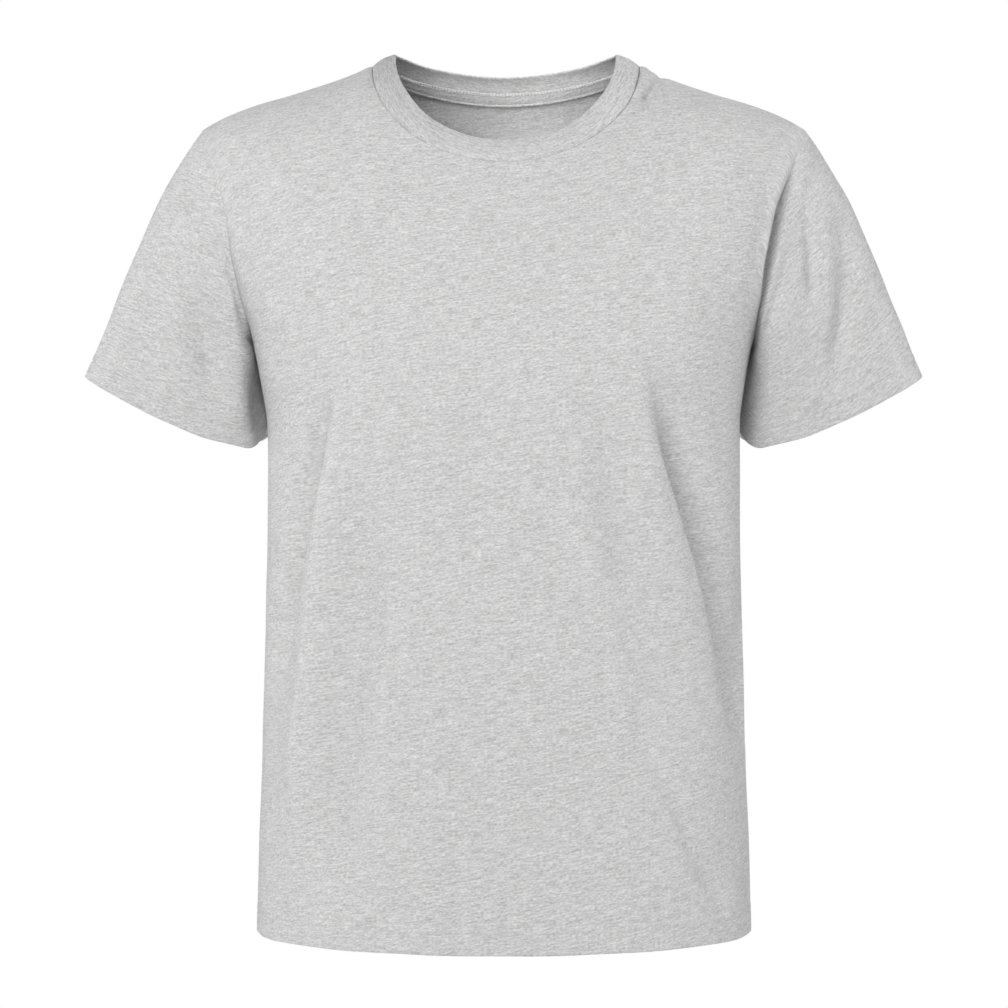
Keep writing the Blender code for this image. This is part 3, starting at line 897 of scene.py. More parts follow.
@dataclass(frozen=True)
class Stitches:
    """Stitches of one seam: short rounded lengths of thread that arch over the cloth between their ends.

    A blunt of 1 would bring their ends to a point, and the spread is how unequal their lengths are.
    """

    pitch: float = 3.1 * MM
    length: float = 2.75 * MM
    width: float = 0.50 * MM
    height: float = 0.34 * MM
    sunk: float = 0.04 * MM
    arch: float = 0.10 * MM
    sway: float = 0.06 * MM
    seed: int = 5
    blunt: float = 0.97
    spread: tuple[float, float] = (0.94, 1.04)
    stations: tuple[float, ...] = (-0.5, -0.44, -0.25, 0.0, 0.25, 0.44, 0.5)
    sides: int = 6

    def places(self, cloth: Cloth, row: int, inside: float = 0.0) -> tuple[Array, Array]:
        """Evenly spaced places along a row of a piece of cloth, a stitch's pitch apart.

        Args:
            cloth: The piece.
            row: The row.
            inside: How far inside the cloth's outer side the stitches lie.

        Returns:
            The places and the cloth's normals there.
        """
        both = np.concatenate([cloth.points[row] - inside * cloth.normals[row], cloth.normals[row]], -1)
        if cloth.closed:
            both = np.concatenate([both, both[:1]])
        reached = travelled(both[:, :3])
        even = np.linspace(0, reached[-1], int(round(reached[-1] / self.pitch)) + 1)
        both = read_between(even, reached, both)
        return both[:, :3], unit(both[:, 3:])

    def sew(self, name: str, starts: Array, ends: Array, normals: Array) -> Object:
        """Makes a stitch from each start to its end, as one joined mesh.

        Args:
            name: The mesh's name.
            starts: Where the stitches start.
            ends: Where they end.
            normals: The cloth's normals under them.

        Returns:
            The new object.
        """
        random = np.random.default_rng(self.seed)
        span = np.linalg.norm(ends - starts, axis=-1)
        along = unit(ends - starts)
        beside = unit(np.cross(normals, along))
        upward = np.cross(along, beside)
        middle = (starts + ends) / 2 + beside * random.normal(0, self.sway, (len(span), 1))
        length = span * self.length / self.pitch * random.uniform(*self.spread, len(span))

        turns = np.linspace(0, 2 * np.pi, self.sides, endpoint=False)
        station = np.array(self.stations)
        swell = np.sqrt(1 - (2 * station * self.blunt) ** 2)
        arch = self.arch * (1 - (2 * station) ** 2) - self.sunk
        forward = np.repeat(station, self.sides)[:, None] * length[:, None, None]
        aside = np.outer(swell, np.cos(turns)).reshape(-1, 1) * self.width / 2
        above = (np.outer(swell, np.sin(turns)) * self.height / 2 + arch[:, None]).reshape(-1, 1)
        points = middle[:, None] + along[:, None] * forward
        points = points + beside[:, None] * aside + upward[:, None] * above
        corners = self.skin()
        faces = corners[..., 0] * self.sides + corners[..., 1] % self.sides
        faces = (faces + len(station) * self.sides * np.arange(len(span))[:, None, None]).reshape(-1, 4)
        girth = math.pi * (self.width + self.height) / 2 / self.sides
        flat = np.stack([corners[..., 1] * girth, station[corners[..., 0]] * self.length], -1)
        return mesh_object(name, points.reshape(-1, 3), faces, np.tile(flat.reshape(-1, 2), (len(span), 1)))

    def skin(self) -> Array:
        """The skin of one stitch: a tube along its stations, closed at both ends.

        Returns:
            The station and the side of each corner of each face.
        """
        last = len(self.stations) - 1
        corners = [
            [(station, side), (station, side + 1), (station + 1, side + 1), (station + 1, side)]
            for station in range(last) for side in range(self.sides)
        ]
        for station, turn in ((0, -1), (last, 1)):
            for start in range(1, self.sides - 2, 2):
                corners.append([(station, side) for side in (0, start, start + 1, start + 2)][::turn])
        return np.array(corners)

    def row(self, name: str, cloth: Cloth, row: int, inside: float = 0.0) -> Object:
        """Sews a straight row of stitches along a row of the cloth.

        Args:
            name: The mesh's name.
            cloth: The cloth.
            row: The row that it follows.
            inside: How far inside the cloth's outer side it lies.

        Returns:
            The new object.
        """
        places, normals = self.places(cloth, row, inside)
        facing = -1 if inside else 1
        return self.sew(name, places[:-1], places[1:], facing * unit(normals[:-1] + normals[1:]))

    def crossing(self, name: str, cloth: Cloth, rows: list[int], inside: float) -> Object:
        """Sews the looper thread that crosses to and fro between two rows on the cloth's inside.

        Args:
            name: The mesh's name.
            cloth: The cloth.
            rows: The two rows.
            inside: How far inside the cloth's outer side it lies.

        Returns:
            The new object.
        """
        (first, normals), (second, _) = (self.places(cloth, row, inside) for row in rows)
        count = min(len(first), len(second))
        starts = np.concatenate([first[: count - 1], second[: count - 1]])
        ends = np.concatenate([second[: count - 1], first[1:count]])
        return self.sew(name, starts, ends, -np.concatenate([normals[: count - 1]] * 2))


# The pinch over the left shoulder beside the neckband, and the roll before it.
SHOULDER_PINCH = (
    Fold(((134.5, 6), (129, -6), (121.5, -17), (112, -31), (101, -52)), 6.5, 3, 4.5, 0.62, 0.6),
    Fold(((116, 4), (113, -8), (108, -20), (99, -38)), -1.3, 3, 2.6, 0.2, 0.6),
)

# The folds of the front and back panels. Those of the back are like the front's, and its own.
PANEL_FOLDS = {
    Side.FRONT: (
        # the long drag line from the wearer's left chest to the left hip, and the roll of cloth beside it
        Fold(((113, -230), (123, -283), (143, -337), (163.5, -395), (178, -448), (188, -500), (194, -555)),
             22, 10, 13, 0.3, 0.12),
        Fold(((96, -250), (104, -290), (112, -353), (132, -420), (150, -480)), -6, 16, 13),
        # broad soft troughs and ridges that hang from the chest
        Fold(((76, -210), (76, -300), (84, -370), (101, -450), (116, -520), (125, -610)),
             8, 16, 24, 0.45, 0.3),
        Fold(((34, -170), (36, -230), (44, -300)), -2.5, 14, 14),
        Fold(((-30, -225), (-26, -300), (-28, -370), (-16, -450)), 6, 18, 24),
        Fold(((-134, -245), (-144, -290), (-158, -353), (-172, -415), (-181, -470), (-186, -540)),
             17, 8, 8, 0.3, 0.3),
        Fold(((-122, -260), (-136, -353), (-145, -431), (-153, -508), (-164, -586), (-172, -650)),
             -11, 11, 17, 0.3, 0.3),
        Fold(((-112, -310), (-112, -431), (-124, -520), (-131, -600), (-122, -680)), 10, 13, 20, 0.4, 0.2),
        # the edges of the body beside the armholes
        Fold(((200, -85), (198, -120), (192, -160), (184, -205), (178, -260)), -1.5, 15, 9, 0.3, 0.5),
        Fold(((-198, -150), (-192, -195), (-184, -250), (-182, -310)), -5, 12, 15),
        # the short pull from the left side up from the hem
        Fold(((116, -552), (138, -600), (158, -645), (178, -682)), 6, 7, 11, 0.5, 0.2),
        *SHOULDER_PINCH,
    ),
    Side.BACK: (
        *SHOULDER_PINCH,
        # the back hangs from the shoulder blades
        Fold(((118, -230), (138, -330), (152, -430), (160, -560)), 7, 13, 22, 0.45, 0.4),
        Fold(((-108, -250), (-130, -350), (-146, -450), (-152, -600)), 6.5, 20, 12, 0.4, 0.45),
        Fold(((40, -330), (52, -420), (48, -540)), 3, 22, 16),
        Fold(((-50, -300), (-60, -390), (-52, -480)), 2.8, 16, 22),
        Fold(((-8, -420), (-2, -520), (12, -640)), 2.4, 18, 20),
        # soft wrinkles below the back neck
        Fold(((-85, -26), (-50, -40), (-10, -47)), 1.8, 6, 8),
        Fold(((-30, -62), (20, -56), (60, -44)), 1.5, 8, 7),
    ),
}

# The folds of the sleeves, whose front and back halves meet at the top fold and under the arm.
SLEEVE_FOLDS = {
    Arm.LEFT: {
        Side.FRONT: (
            Fold(((270, -110), (276, -150), (274, -190), (268, -235), (260, -275)), 9, 9, 10, 0.3, 0.35),
            Fold(((238, -105), (246, -150), (245, -210)), 4.5, 5, 5),
            Fold(((256, -120), (259, -180), (250, -250)), -3.5, 8, 8),
            Fold(((300, -170), (304, -210), (300, -250)), 2.4, 10, 12),
            Fold(((213, -180), (206, -215), (199, -255), (194, -300), (191, -325)), 2.5, 8, 9, 0.6, 0.3),
        ),
        Side.BACK: (
            Fold(((252, -110), (262, -170), (268, -250)), 4.2, 8, 10),
            Fold(((286, -140), (294, -190), (296, -240)), 2, 9, 12),
        ),
    },
    Arm.RIGHT: {
        Side.FRONT: (
            Fold(((-244, -165), (-245, -190), (-236, -240), (-230, -285)), 7, 8, 7),
            Fold(((-261, -165), (-262, -205), (-254, -255)), -4, 8, 8),
            Fold(((-216, -225), (-214, -255), (-210, -300)), -3.5, 7, 7, 0.3, 0.3),
            Fold(((-224, -160), (-216, -188), (-207, -214)), 1.6, 8, 7, 0.4, 0.2),
            Fold(((-211, -220.5), (-201, -224.5), (-188, -233)), 3, 3, 3, 0.5, 0.1),
            Fold(((-200, -226), (-198, -255), (-196, -290), (-192, -325)), 5.5, 7, 7, 0.5, 0.35),
            Fold(((-268, -120), (-284, -170), (-296, -215)), 1.8, 10, 12),
        ),
        Side.BACK: (
            Fold(((-250, -115), (-258, -180), (-262, -255)), 4, 9, 9),
            Fold(((-288, -150), (-292, -200), (-302, -240)), 2.2, 10, 10),
        ),
    },
}


class SewnPiece:
    """What the pieces of the shirt have in common: cloth on the form of a solid, cut from a flat piece."""

    node: str
    slot: str
    cloth: Cloth
    wall: Wall
    flat_size: tuple[float, float]
    flat_area: float = 0.0
    held: str = "stretched"
    rests_on: tuple[str, ...] = ()

    def layers(self) -> Array:
        """How many layers of cloth lie together at each point."""
        return np.ones(self.cloth.points.shape[:2])

    def stitch(self) -> list[Object]:
        """Sews the piece's own stitches, if it has any."""
        return []

    def build(self, knit: Material, thread: Material) -> list[Object]:
        """Makes the piece, with its stitches, and hides the solid that it stands for.

        Args:
            knit: The cloth's finish.
            thread: The stitches' finish.

        Returns:
            The cloth, then its stitches.
        """
        piece = self.cloth.skins(self.node + "_cloth", self.wall.thickness * self.layers(), self.wall)
        sewn = self.stitch()
        for part in (piece, *sewn):
            part.data.materials.append(knit if part is piece else thread)
            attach(part, BODY_NAME)
        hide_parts(self.node)
        return [piece, *sewn]


class HemmedPiece(SewnPiece):
    """A piece with a turned-up hem, which two rows of stitches and their looper thread hold."""

    slot: str = JERSEY_SLOT
    held: str = "hung"
    hem: Hem
    stitches: Stitches

    def layers(self) -> Array:
        """How many layers of cloth lie together at each point."""
        return self.hem.layers(self.cloth.from_edge)

    def stitch(self) -> list[Object]:
        """Sews the hem.

        Returns:
            Its rows of stitches, then the looper thread.
        """
        rows = [self.hem.row_of(line) for line in self.hem.stitch_lines]
        names = (f"{self.node}_hem_stitches_{number}" for number in range(1, len(rows) + 1))
        sewn = [self.stitches.row(name, self.cloth, row) for name, row in zip(names, rows)]
        looper = self.stitches.crossing(self.node + "_hem_looper", self.cloth, rows, 2 * self.wall.thickness)
        return [*sewn, looper]


@dataclass(frozen=True)
class Opening:
    """The edge of an opening in the two panels, as one loop: along the front's edge, then the back's.

    It holds the rows and columns of the edge's points in either panel's grid. The panels share both
    ends, which the loop has once.
    """

    rows: Array
    columns: Array

    def gather(self, front: Array, back: Array) -> Array:
        """Reads values of the two panels round the loop."""
        edge = (self.rows, self.columns)
        return np.concatenate([front[edge], back[edge][-2:0:-1]])

    def sew_to(self, cloth: Cloth, front: Cloth, back: Cloth) -> None:
        """Gives the sewn edge of another piece and this loop like normals.

        Args:
            cloth: The piece that is sewn on.
            front: The front panel.
            back: The back panel.
        """
        around = self.gather(front.normals, back.normals)
        around, cloth.normals[-1] = share_normals(around, cloth.normals[-1])
        last = len(self.rows) - 1
        front.normals[self.rows, self.columns] = around[: last + 1]
        back.normals[self.rows, self.columns] = np.concatenate([around[:1], around[: last - 1 : -1]])


@dataclass
class Panel(HemmedPiece):
    """The front or the back: one piece from the hem to the shoulders, with its own turned-up hem."""

    side: Side
    form: TrunkForm
    unevenness: Unevenness
    wall: Wall = Wall()
    hem: Hem = Hem()
    stitches: Stitches = Stitches()
    flat_size: tuple[float, float] = (0.53, 0.735)
    flat_area: float = 0.352
    neck_columns: int = 48
    shoulder_columns: int = 48
    shoulder_spacing: float = 1.4
    middle_rows: int = 92
    upper_rows: int = 72
    edge_hold: int = 30
    calm_near_seams: float = 30 * MM
    hem_wave: float = 0.9 * MM
    hem_wave_length: float = 83 * MM
    cloth: Cloth = field(init=False)

    def __post_init__(self) -> None:
        """Lays the panel out on the body's form."""
        grid = self.with_side_columns(self.lay_out())
        self.cloth = Cloth(grid, False, side_cells=len(self.wall.edge_steps))

    @property
    def node(self) -> str:
        """The panel's solid, front_panel or back_panel."""
        return self.side.name.lower() + "_panel"

    @property
    def underarm_row(self) -> int:
        """The row that the armholes start from."""
        return len(self.hem.rows()) + self.middle_rows - 1

    @property
    def neck_ends(self) -> tuple[int, int]:
        """The columns at the wearer's right and left ends of the neck seam."""
        first = self.shoulder_columns + len(self.wall.edge_steps) - 1
        return first, first + 2 * self.neck_columns

    def armhole(self, arm: Arm) -> Opening:
        """An armhole, from the underarm up the front and down the back."""
        rows = np.arange(self.underarm_row, len(self.cloth.base))
        return Opening(rows, np.full_like(rows, -1 if arm is Arm.LEFT else 0))

    def neck(self) -> Opening:
        """The neck seam, from the wearer's right shoulder round the front, and back behind."""
        columns = np.arange(self.neck_ends[0], self.neck_ends[1] + 1)
        return Opening(np.full_like(columns, -1), columns)

    def columns(self) -> tuple[Array, Array, Array]:
        """Where each column runs.

        Returns:
            Its share of the half width at the hem and at the top, and the height of its top.
        """
        neck_x, neck_z = self.form.neck_curve(self.side, np.linspace(0, 1, self.neck_columns + 1))
        outward = np.linspace(0, 1, self.shoulder_columns + 1) ** self.shoulder_spacing
        run = self.form.tip_half_width - self.form.neck_half_width
        shoulder_x = self.form.neck_half_width + run * outward
        top_x = np.concatenate([neck_x, shoulder_x[1:]])
        top_z = np.concatenate([neck_z, SHOULDER.read("front_top", shoulder_x[1:])])
        at_hem = np.sin(np.linspace(0, np.pi / 2, len(top_x)))
        at_top = top_x / self.form.panel_half_width(top_z)
        at_top[-1] = 1.0
        both = [np.concatenate([-half[:0:-1], half]) for half in (at_hem, at_top)]
        return both[0], both[1], np.concatenate([top_z[:0:-1], top_z])

    def lay_out(self) -> Array:
        """The outer surface of the panel on the body's form.

        Returns:
            A grid of points, rows from the hem to the top, columns across.
        """
        hem, underarm = self.form.hem_height, self.form.underarm_height
        at_hem, at_top, top_z = self.columns()
        lower = self.hem.rows()
        middle = np.linspace(lower[-1], underarm - hem, self.middle_rows + 1)[1:-1]
        lower = hem + np.concatenate([lower, middle])
        upper = (1 - np.cos(np.linspace(0, np.pi, self.upper_rows + 1)))[:, None] / 2
        height = np.concatenate([lower[:, None] + 0 * top_z, underarm + (top_z - underarm) * upper])
        climb = (height - hem) / (top_z - hem)
        share = at_hem + (at_top - at_hem) * climb**2
        points = self.form.point(self.side, share * self.form.panel_half_width(height), height)
        points[-1, [0, -1], 1] = SHOULDER.read("top_y", self.form.tip_half_width)
        for arm, edge in ((Arm.RIGHT, np.s_[:]), (Arm.LEFT, np.s_[::-1])):
            self.tuck_in(points[self.underarm_row :, edge], arm)
        return points

    def tuck_in(self, points: Array, arm: Arm) -> None:
        """Moves an armhole seam in between the body and the sleeve, with the cloth beside it.

        Args:
            points: The panel's points above the underarm, the armhole's edge first in each row.
            arm: Which armhole.
        """
        up = travelled(points[:, 0])
        away = travelled(points, 1)
        around = 0 * away + (1 - up / up[-1])[:, None]
        points += TUCKS[arm].shift(around, self.side.value, away, False) * (arm.value, 1, 1)

    def with_side_columns(self, points: Array) -> Array:
        """Adds columns near both side edges, for their rounding.

        Args:
            points: The grid.

        Returns:
            The wider grid.
        """
        steps = np.array(self.wall.edge_steps[1:])[:, None].repeat(len(points), axis=1)
        left = along_columns(points[:, :2].swapaxes(0, 1), steps).swapaxes(0, 1)
        right = along_columns(points[:, :-3:-1].swapaxes(0, 1), steps).swapaxes(0, 1)
        return np.concatenate([points[:, :1], left, points[:, 1:-1], right[:, ::-1], points[:, -1:]], axis=1)

    def shape(self) -> None:
        """Gives the cloth its folds, its hem and its sunken seams."""
        cloth = self.cloth
        x, z = cloth.base[..., 0], cloth.base[..., 2]
        across = cloth.places[..., 0]
        own_edge = np.where(across < 0, -across[:, :1], across[:, -1:])
        hold = 1 - np.clip(np.abs(across) / own_edge, 0, 1) ** self.edge_hold
        depth = sum(fold.taken_in(x, z) for fold in PANEL_FOLDS[self.side]) * hold
        calm = smooth_step(cloth.from_side / self.calm_near_seams)
        calm *= smooth_step(cloth.from_seam / self.calm_near_seams)
        depth -= self.unevenness.at(cloth.places) * calm
        swing = np.sin(2 * np.pi * (across + self.hem_wave_length * z) / self.hem_wave_length)
        depth += self.hem_wave * swing * calm * (1 - smooth_step(cloth.from_edge / (3 * self.hem.depth)))
        depth += self.hem.relief(cloth.from_edge)
        cloth.take_in(depth + self.wall.sunk(np.minimum(cloth.from_side, cloth.from_seam)))


@dataclass
class Sleeve(HemmedPiece):
    """A short sleeve: a tube from the cuff to the armhole, with its own turned-up hem."""

    arm: Arm
    form: TrunkForm
    armhole: Array
    unevenness: Unevenness
    wall: Wall = Wall()
    hem: Hem = Hem(depth=22.5 * MM, stitch_lines=(14.4 * MM, 20.8 * MM))
    stitches: Stitches = Stitches(seed=6)
    flat_size: tuple[float, float] = (0.40, 0.225)
    flat_area: float = 0.0544
    rests_on: tuple[str, ...] = PANEL_CLOTHS
    cuff_top: Place = (0.3400, 0.006, -0.2520)
    cuff_underarm: Place = (0.1880, 0.028, -0.2880)
    top_bow: float = 7.5 * MM
    side_bow: float = 5.0 * MM
    bow_fall: float = 1.8
    clearance: float = 1.6 * MM
    clearance_run: float = 15 * MM
    seam_gap: float = 0.3 * MM
    seam_hold: float = 6 * MM
    seam_steps: tuple[float, ...] = (3 * MM, 5 * MM, 8 * MM)
    calm_near_seam: float = 20 * MM
    face_blend: float = 0.16
    rings: int = 161
    middle_rows: int = 48
    cloth: Cloth = field(init=False)
    around: Array = field(init=False)
    face: Array = field(init=False)

    def __post_init__(self) -> None:
        """Works out how far round each column is and which way it faces, and lays the sleeve out."""
        flip = np.array([self.arm.value, 1, 1])
        loop = self.armhole * flip
        reached = travelled(np.concatenate([loop, loop[:1]]))
        at_tip, at_end = reached[len(loop) // 2], reached[-1]
        reached = reached[:-1]
        self.face = np.where(reached <= at_tip, -1.0, 1.0)
        self.around = np.where(self.face < 0, 1 - reached / at_tip, (reached - at_tip) / (at_end - at_tip))
        self.cloth = Cloth(self.with_hem_rows(self.lay_out(loop)) * flip, True)

    @property
    def node(self) -> str:
        """The sleeve's solid, sleeve_left or sleeve_right."""
        return "sleeve_" + self.arm.name.lower()

    def cuff(self) -> Array:
        """The edge of the left sleeve's cuff.

        Returns:
            A point for each column.
        """
        front, back = (
            [CUFF.read(face + size, self.around) for size in ("_drop", "_reach")]
            for face in ("front", "back")
        )
        drop, reach = np.where(self.face < 0, front, back)
        share = ((1 - np.cos(np.pi * self.around)) / 2)[:, None]
        line = np.array(self.cuff_top) * (1 - share) + np.array(self.cuff_underarm) * share
        run = np.subtract(self.cuff_underarm, self.cuff_top)
        hang = unit(np.array([-run[2], 0, run[0]]))
        return line + hang * drop[:, None] + np.outer(self.face * reach, (0, 1, 0))

    def lay_out(self, loop: Array) -> Array:
        """The outer surface of the left sleeve.

        Args:
            loop: The armhole.

        Returns:
            A grid of points, rings from the cuff to the armhole.
        """
        share = np.linspace(1, 0, self.rings)[:, None, None]
        peak = 1 / (1 + self.bow_fall)
        bow = share * (1 - share) ** self.bow_fall / (peak * (1 - peak) ** self.bow_fall)
        run = np.subtract(self.cuff_top, loop[len(loop) // 2])
        upward = unit(np.array([-run[2], 0, run[0]]))
        top = (np.cos(np.pi * self.around / 2) ** 2 * self.top_bow)[:, None] * upward
        sideways = np.outer(self.face * np.sin(np.pi * self.around) * self.side_bow, (0, 1, 0))
        tuck = TUCKS[self.arm]
        start = loop - tuck.shift(self.around, self.face, 0 * self.around, True)
        rings = start + (self.cuff() - start) * share + bow * (top + sideways)
        rings[:-1] = self.form.clear_of(rings[:-1], self.clearance, self.clearance_run, self.seam_gap)
        from_cuff = travelled(rings)
        away = from_cuff[-1] - from_cuff
        return rings + tuck.shift(self.around + 0 * away, self.face, away, True)

    def with_hem_rows(self, rings: Array) -> Array:
        """Spaces the rings by their distance from the cuff, and closer at the hem and at the armhole.

        Args:
            rings: The grid.

        Returns:
            The respaced grid.
        """
        length = travelled(rings)[-1]
        near_cuff = np.tile(self.hem.rows()[:, None], len(length))
        steps = np.array([*self.wall.edge_steps, *self.seam_steps])
        near_seam = length - steps[::-1, None]
        share = np.linspace(0, 1, self.middle_rows + 2)[1:-1, None]
        between = near_cuff[-1] + (near_seam[0] - near_cuff[-1]) * share
        return along_columns(rings, np.concatenate([near_cuff, between, near_seam]))

    def shape(self) -> None:
        """Gives the cloth its folds, its hem and its sunken seam."""
        cloth = self.cloth
        x, z = cloth.base[..., 0], cloth.base[..., 2]
        facing = smooth_step(0.5 + np.minimum(self.around, 1 - self.around) / self.face_blend)
        in_front = np.where(self.face < 0, facing, 1 - facing)
        shares = {Side.FRONT: in_front, Side.BACK: 1 - in_front}
        folds = SLEEVE_FOLDS[self.arm]
        depth = sum(fold.taken_in(x, z) * share for side, share in shares.items() for fold in folds[side])
        depth = depth * smooth_step(cloth.from_seam / self.seam_hold)
        depth -= self.unevenness.at(cloth.places) * smooth_step(cloth.from_seam / self.calm_near_seam)
        depth += self.hem.relief(cloth.from_edge)
        cloth.take_in(depth + self.wall.sunk(cloth.from_seam))


@dataclass
class Neckband(SewnPiece):
    """The neckband: one ring of rib, folded double, from its round top edge to the neck seam."""

    seam: Array
    node: str = "neckband"
    slot: str = BAND_SLOT
    rests_on: tuple[str, ...] = PANEL_CLOTHS
    wall: Wall = Wall(
        thickness=2.0 * MM, seam_sink=0.30 * MM, seam_reach=1.6 * MM, seam_rounding=0.5 * MM, seam_lift=0
    )
    unevenness: Unevenness = Unevenness(13, 0.22 * MM, 30 * MM, 90 * MM)
    flat_size: tuple[float, float] = (0.575, 0.020)
    top_half_width: float = 0.088
    top_height: float = 0.008
    seam_half_width: float = 0.107
    front_drop: float = 0.075
    back_drop: float = 0.009
    front_curve: int = 1
    back_curve: int = 3
    depth_share: float = 0.86
    crown: float = 1.6 * MM
    side_rise: float = 2.0 * MM
    side_rise_from: float = 0.056
    rows: int = 30
    cloth: Cloth = field(init=False)

    def __post_init__(self) -> None:
        """Lays the band out above the neck seam."""
        share = (1 + np.cos(np.linspace(0, np.pi, self.rows + 1)))[:, None, None] / 2
        grid = self.seam + (self.top() - self.seam) * share
        self.cloth = Cloth(grid + 4 * share * (1 - share) * self.crown * grid_normals(grid, True), True)

    def top(self) -> Array:
        """The top edge of the band above each point of the neck seam.

        Returns:
            A point for each column.
        """
        turn = np.arcsin(np.clip(self.seam[:, 0] / self.seam_half_width, -1, 1))
        middle = SHOULDER.read("top_y", self.seam_half_width)
        front = self.front_drop * np.cos(turn) ** self.front_curve
        back = self.back_drop * np.cos(turn) ** self.back_curve
        sideways = np.abs(self.seam[:, 0]) * self.top_half_width / self.seam_half_width - self.side_rise_from
        rise = self.side_rise * smooth_step(sideways / (self.top_half_width - self.side_rise_from))
        return np.stack([
            self.seam[:, 0] * self.top_half_width / self.seam_half_width,
            middle + (self.seam[:, 1] - middle) * self.depth_share,
            self.top_height + rise - np.where(self.seam[:, 1] < middle, front, back),
        ], -1)

    def shape(self) -> None:
        """Gives the cloth its sunken seam and its slight unevenness."""
        cloth = self.cloth
        cloth.take_in(self.wall.sunk(cloth.from_seam) - self.unevenness.at(cloth.places))


@dataclass
class NeckTape(SewnPiece):
    """The narrow tape inside the back neck, over the seam, with a chain stitch along its upper edge."""

    form: TrunkForm
    node: str = "back_neck_tape"
    slot: str = TAPE_SLOT
    rests_on: tuple[str, ...] = ("back_panel_cloth", "neckband_cloth")
    wall: Wall = Wall(thickness=1.5 * MM, seam_rounding=0.6 * MM, seam_lift=0)
    unevenness: Unevenness = Unevenness(14, 0.16 * MM, 12 * MM, 50 * MM)
    upper: Stitches = Stitches(
        pitch=2.7 * MM, length=2.3 * MM, width=1.30 * MM, height=1.35 * MM, arch=0.35 * MM, sway=0.24 * MM,
        seed=7,
    )
    lower: Stitches = Stitches(pitch=2.9 * MM, length=2.4 * MM, seed=8)
    flat_size: tuple[float, float] = (0.222, 0.0105)
    turned: float = 0.875
    below_seam: float = 4.6 * MM
    band_share: float = 0.30
    lies_in: float = 2.1 * MM
    lies_in_on_band: float = 2.9 * MM
    columns: int = 160
    rows: int = 22
    bedded: float = 0.12 * MM
    chain_spread: float = 0.95 * MM
    chain_narrowing: float = 0.2
    chain_place: float = 1.0 * MM
    lower_place: float = 1.5 * MM
    lip: float = 0.7 * MM
    lip_place: float = 0.4 * MM
    lip_reach: float = 1.0 * MM
    cloth: Cloth = field(init=False)

    def __post_init__(self) -> None:
        """Lays the tape along the inside of the back panel and of the band."""
        turn = np.linspace(-self.turned, self.turned, self.columns + 1)
        below, seam = (
            self.form.point(Side.BACK, *self.form.neck_curve(Side.BACK, turn, spread))
            for spread in (self.below_seam, 0.0)
        )
        band_top = Neckband(seam).top()
        above = seam + (band_top - seam) * self.band_share
        share = (1 - np.cos(np.linspace(0, np.pi, self.rows + 1)))[:, None, None] / 2
        grid = (1 - share) ** 2 * below + 2 * share * (1 - share) * seam + share**2 * above
        inside = self.lies_in + (self.lies_in_on_band - self.lies_in) * smooth_step(2 * share)
        self.cloth = Cloth(grid - grid_normals(grid, False) * inside, False)

    def shape(self) -> None:
        """Beds the tape in and gives it its lip along the lower edge."""
        lip = self.lip * hump(self.cloth.from_edge - self.lip_place, self.lip_reach)
        self.cloth.take_in(self.unevenness.at(self.cloth.places) + self.bedded + lip)

    def stitch(self) -> list[Object]:
        """Sews the chain along the upper edge, two leaning legs for each link, and the row along the lower.

        Returns:
            The chain and the row.
        """
        cloth, inside = self.cloth, self.wall.thickness
        row = int(np.abs(cloth.from_seam.mean(axis=1) - self.chain_place).argmin())
        places, normals = self.upper.places(cloth, row, inside)
        aside = unit(np.cross(normals, np.gradient(places, axis=0))) * self.chain_spread
        starts = np.concatenate([places[:-1] + aside[:-1], places[:-1] - aside[:-1]])
        narrow = self.chain_narrowing * aside[1:]
        ends = np.concatenate([places[1:] + narrow, places[1:] - narrow])
        facing = -np.concatenate([unit(normals[:-1] + normals[1:])] * 2)
        chain = self.upper.sew(self.node + "_chain_stitch", starts, ends, facing)
        row = int(np.abs(cloth.from_edge.mean(axis=1) - self.lower_place).argmin())
        return [chain, self.lower.row(self.node + "_lower_stitches", cloth, row, inside)]


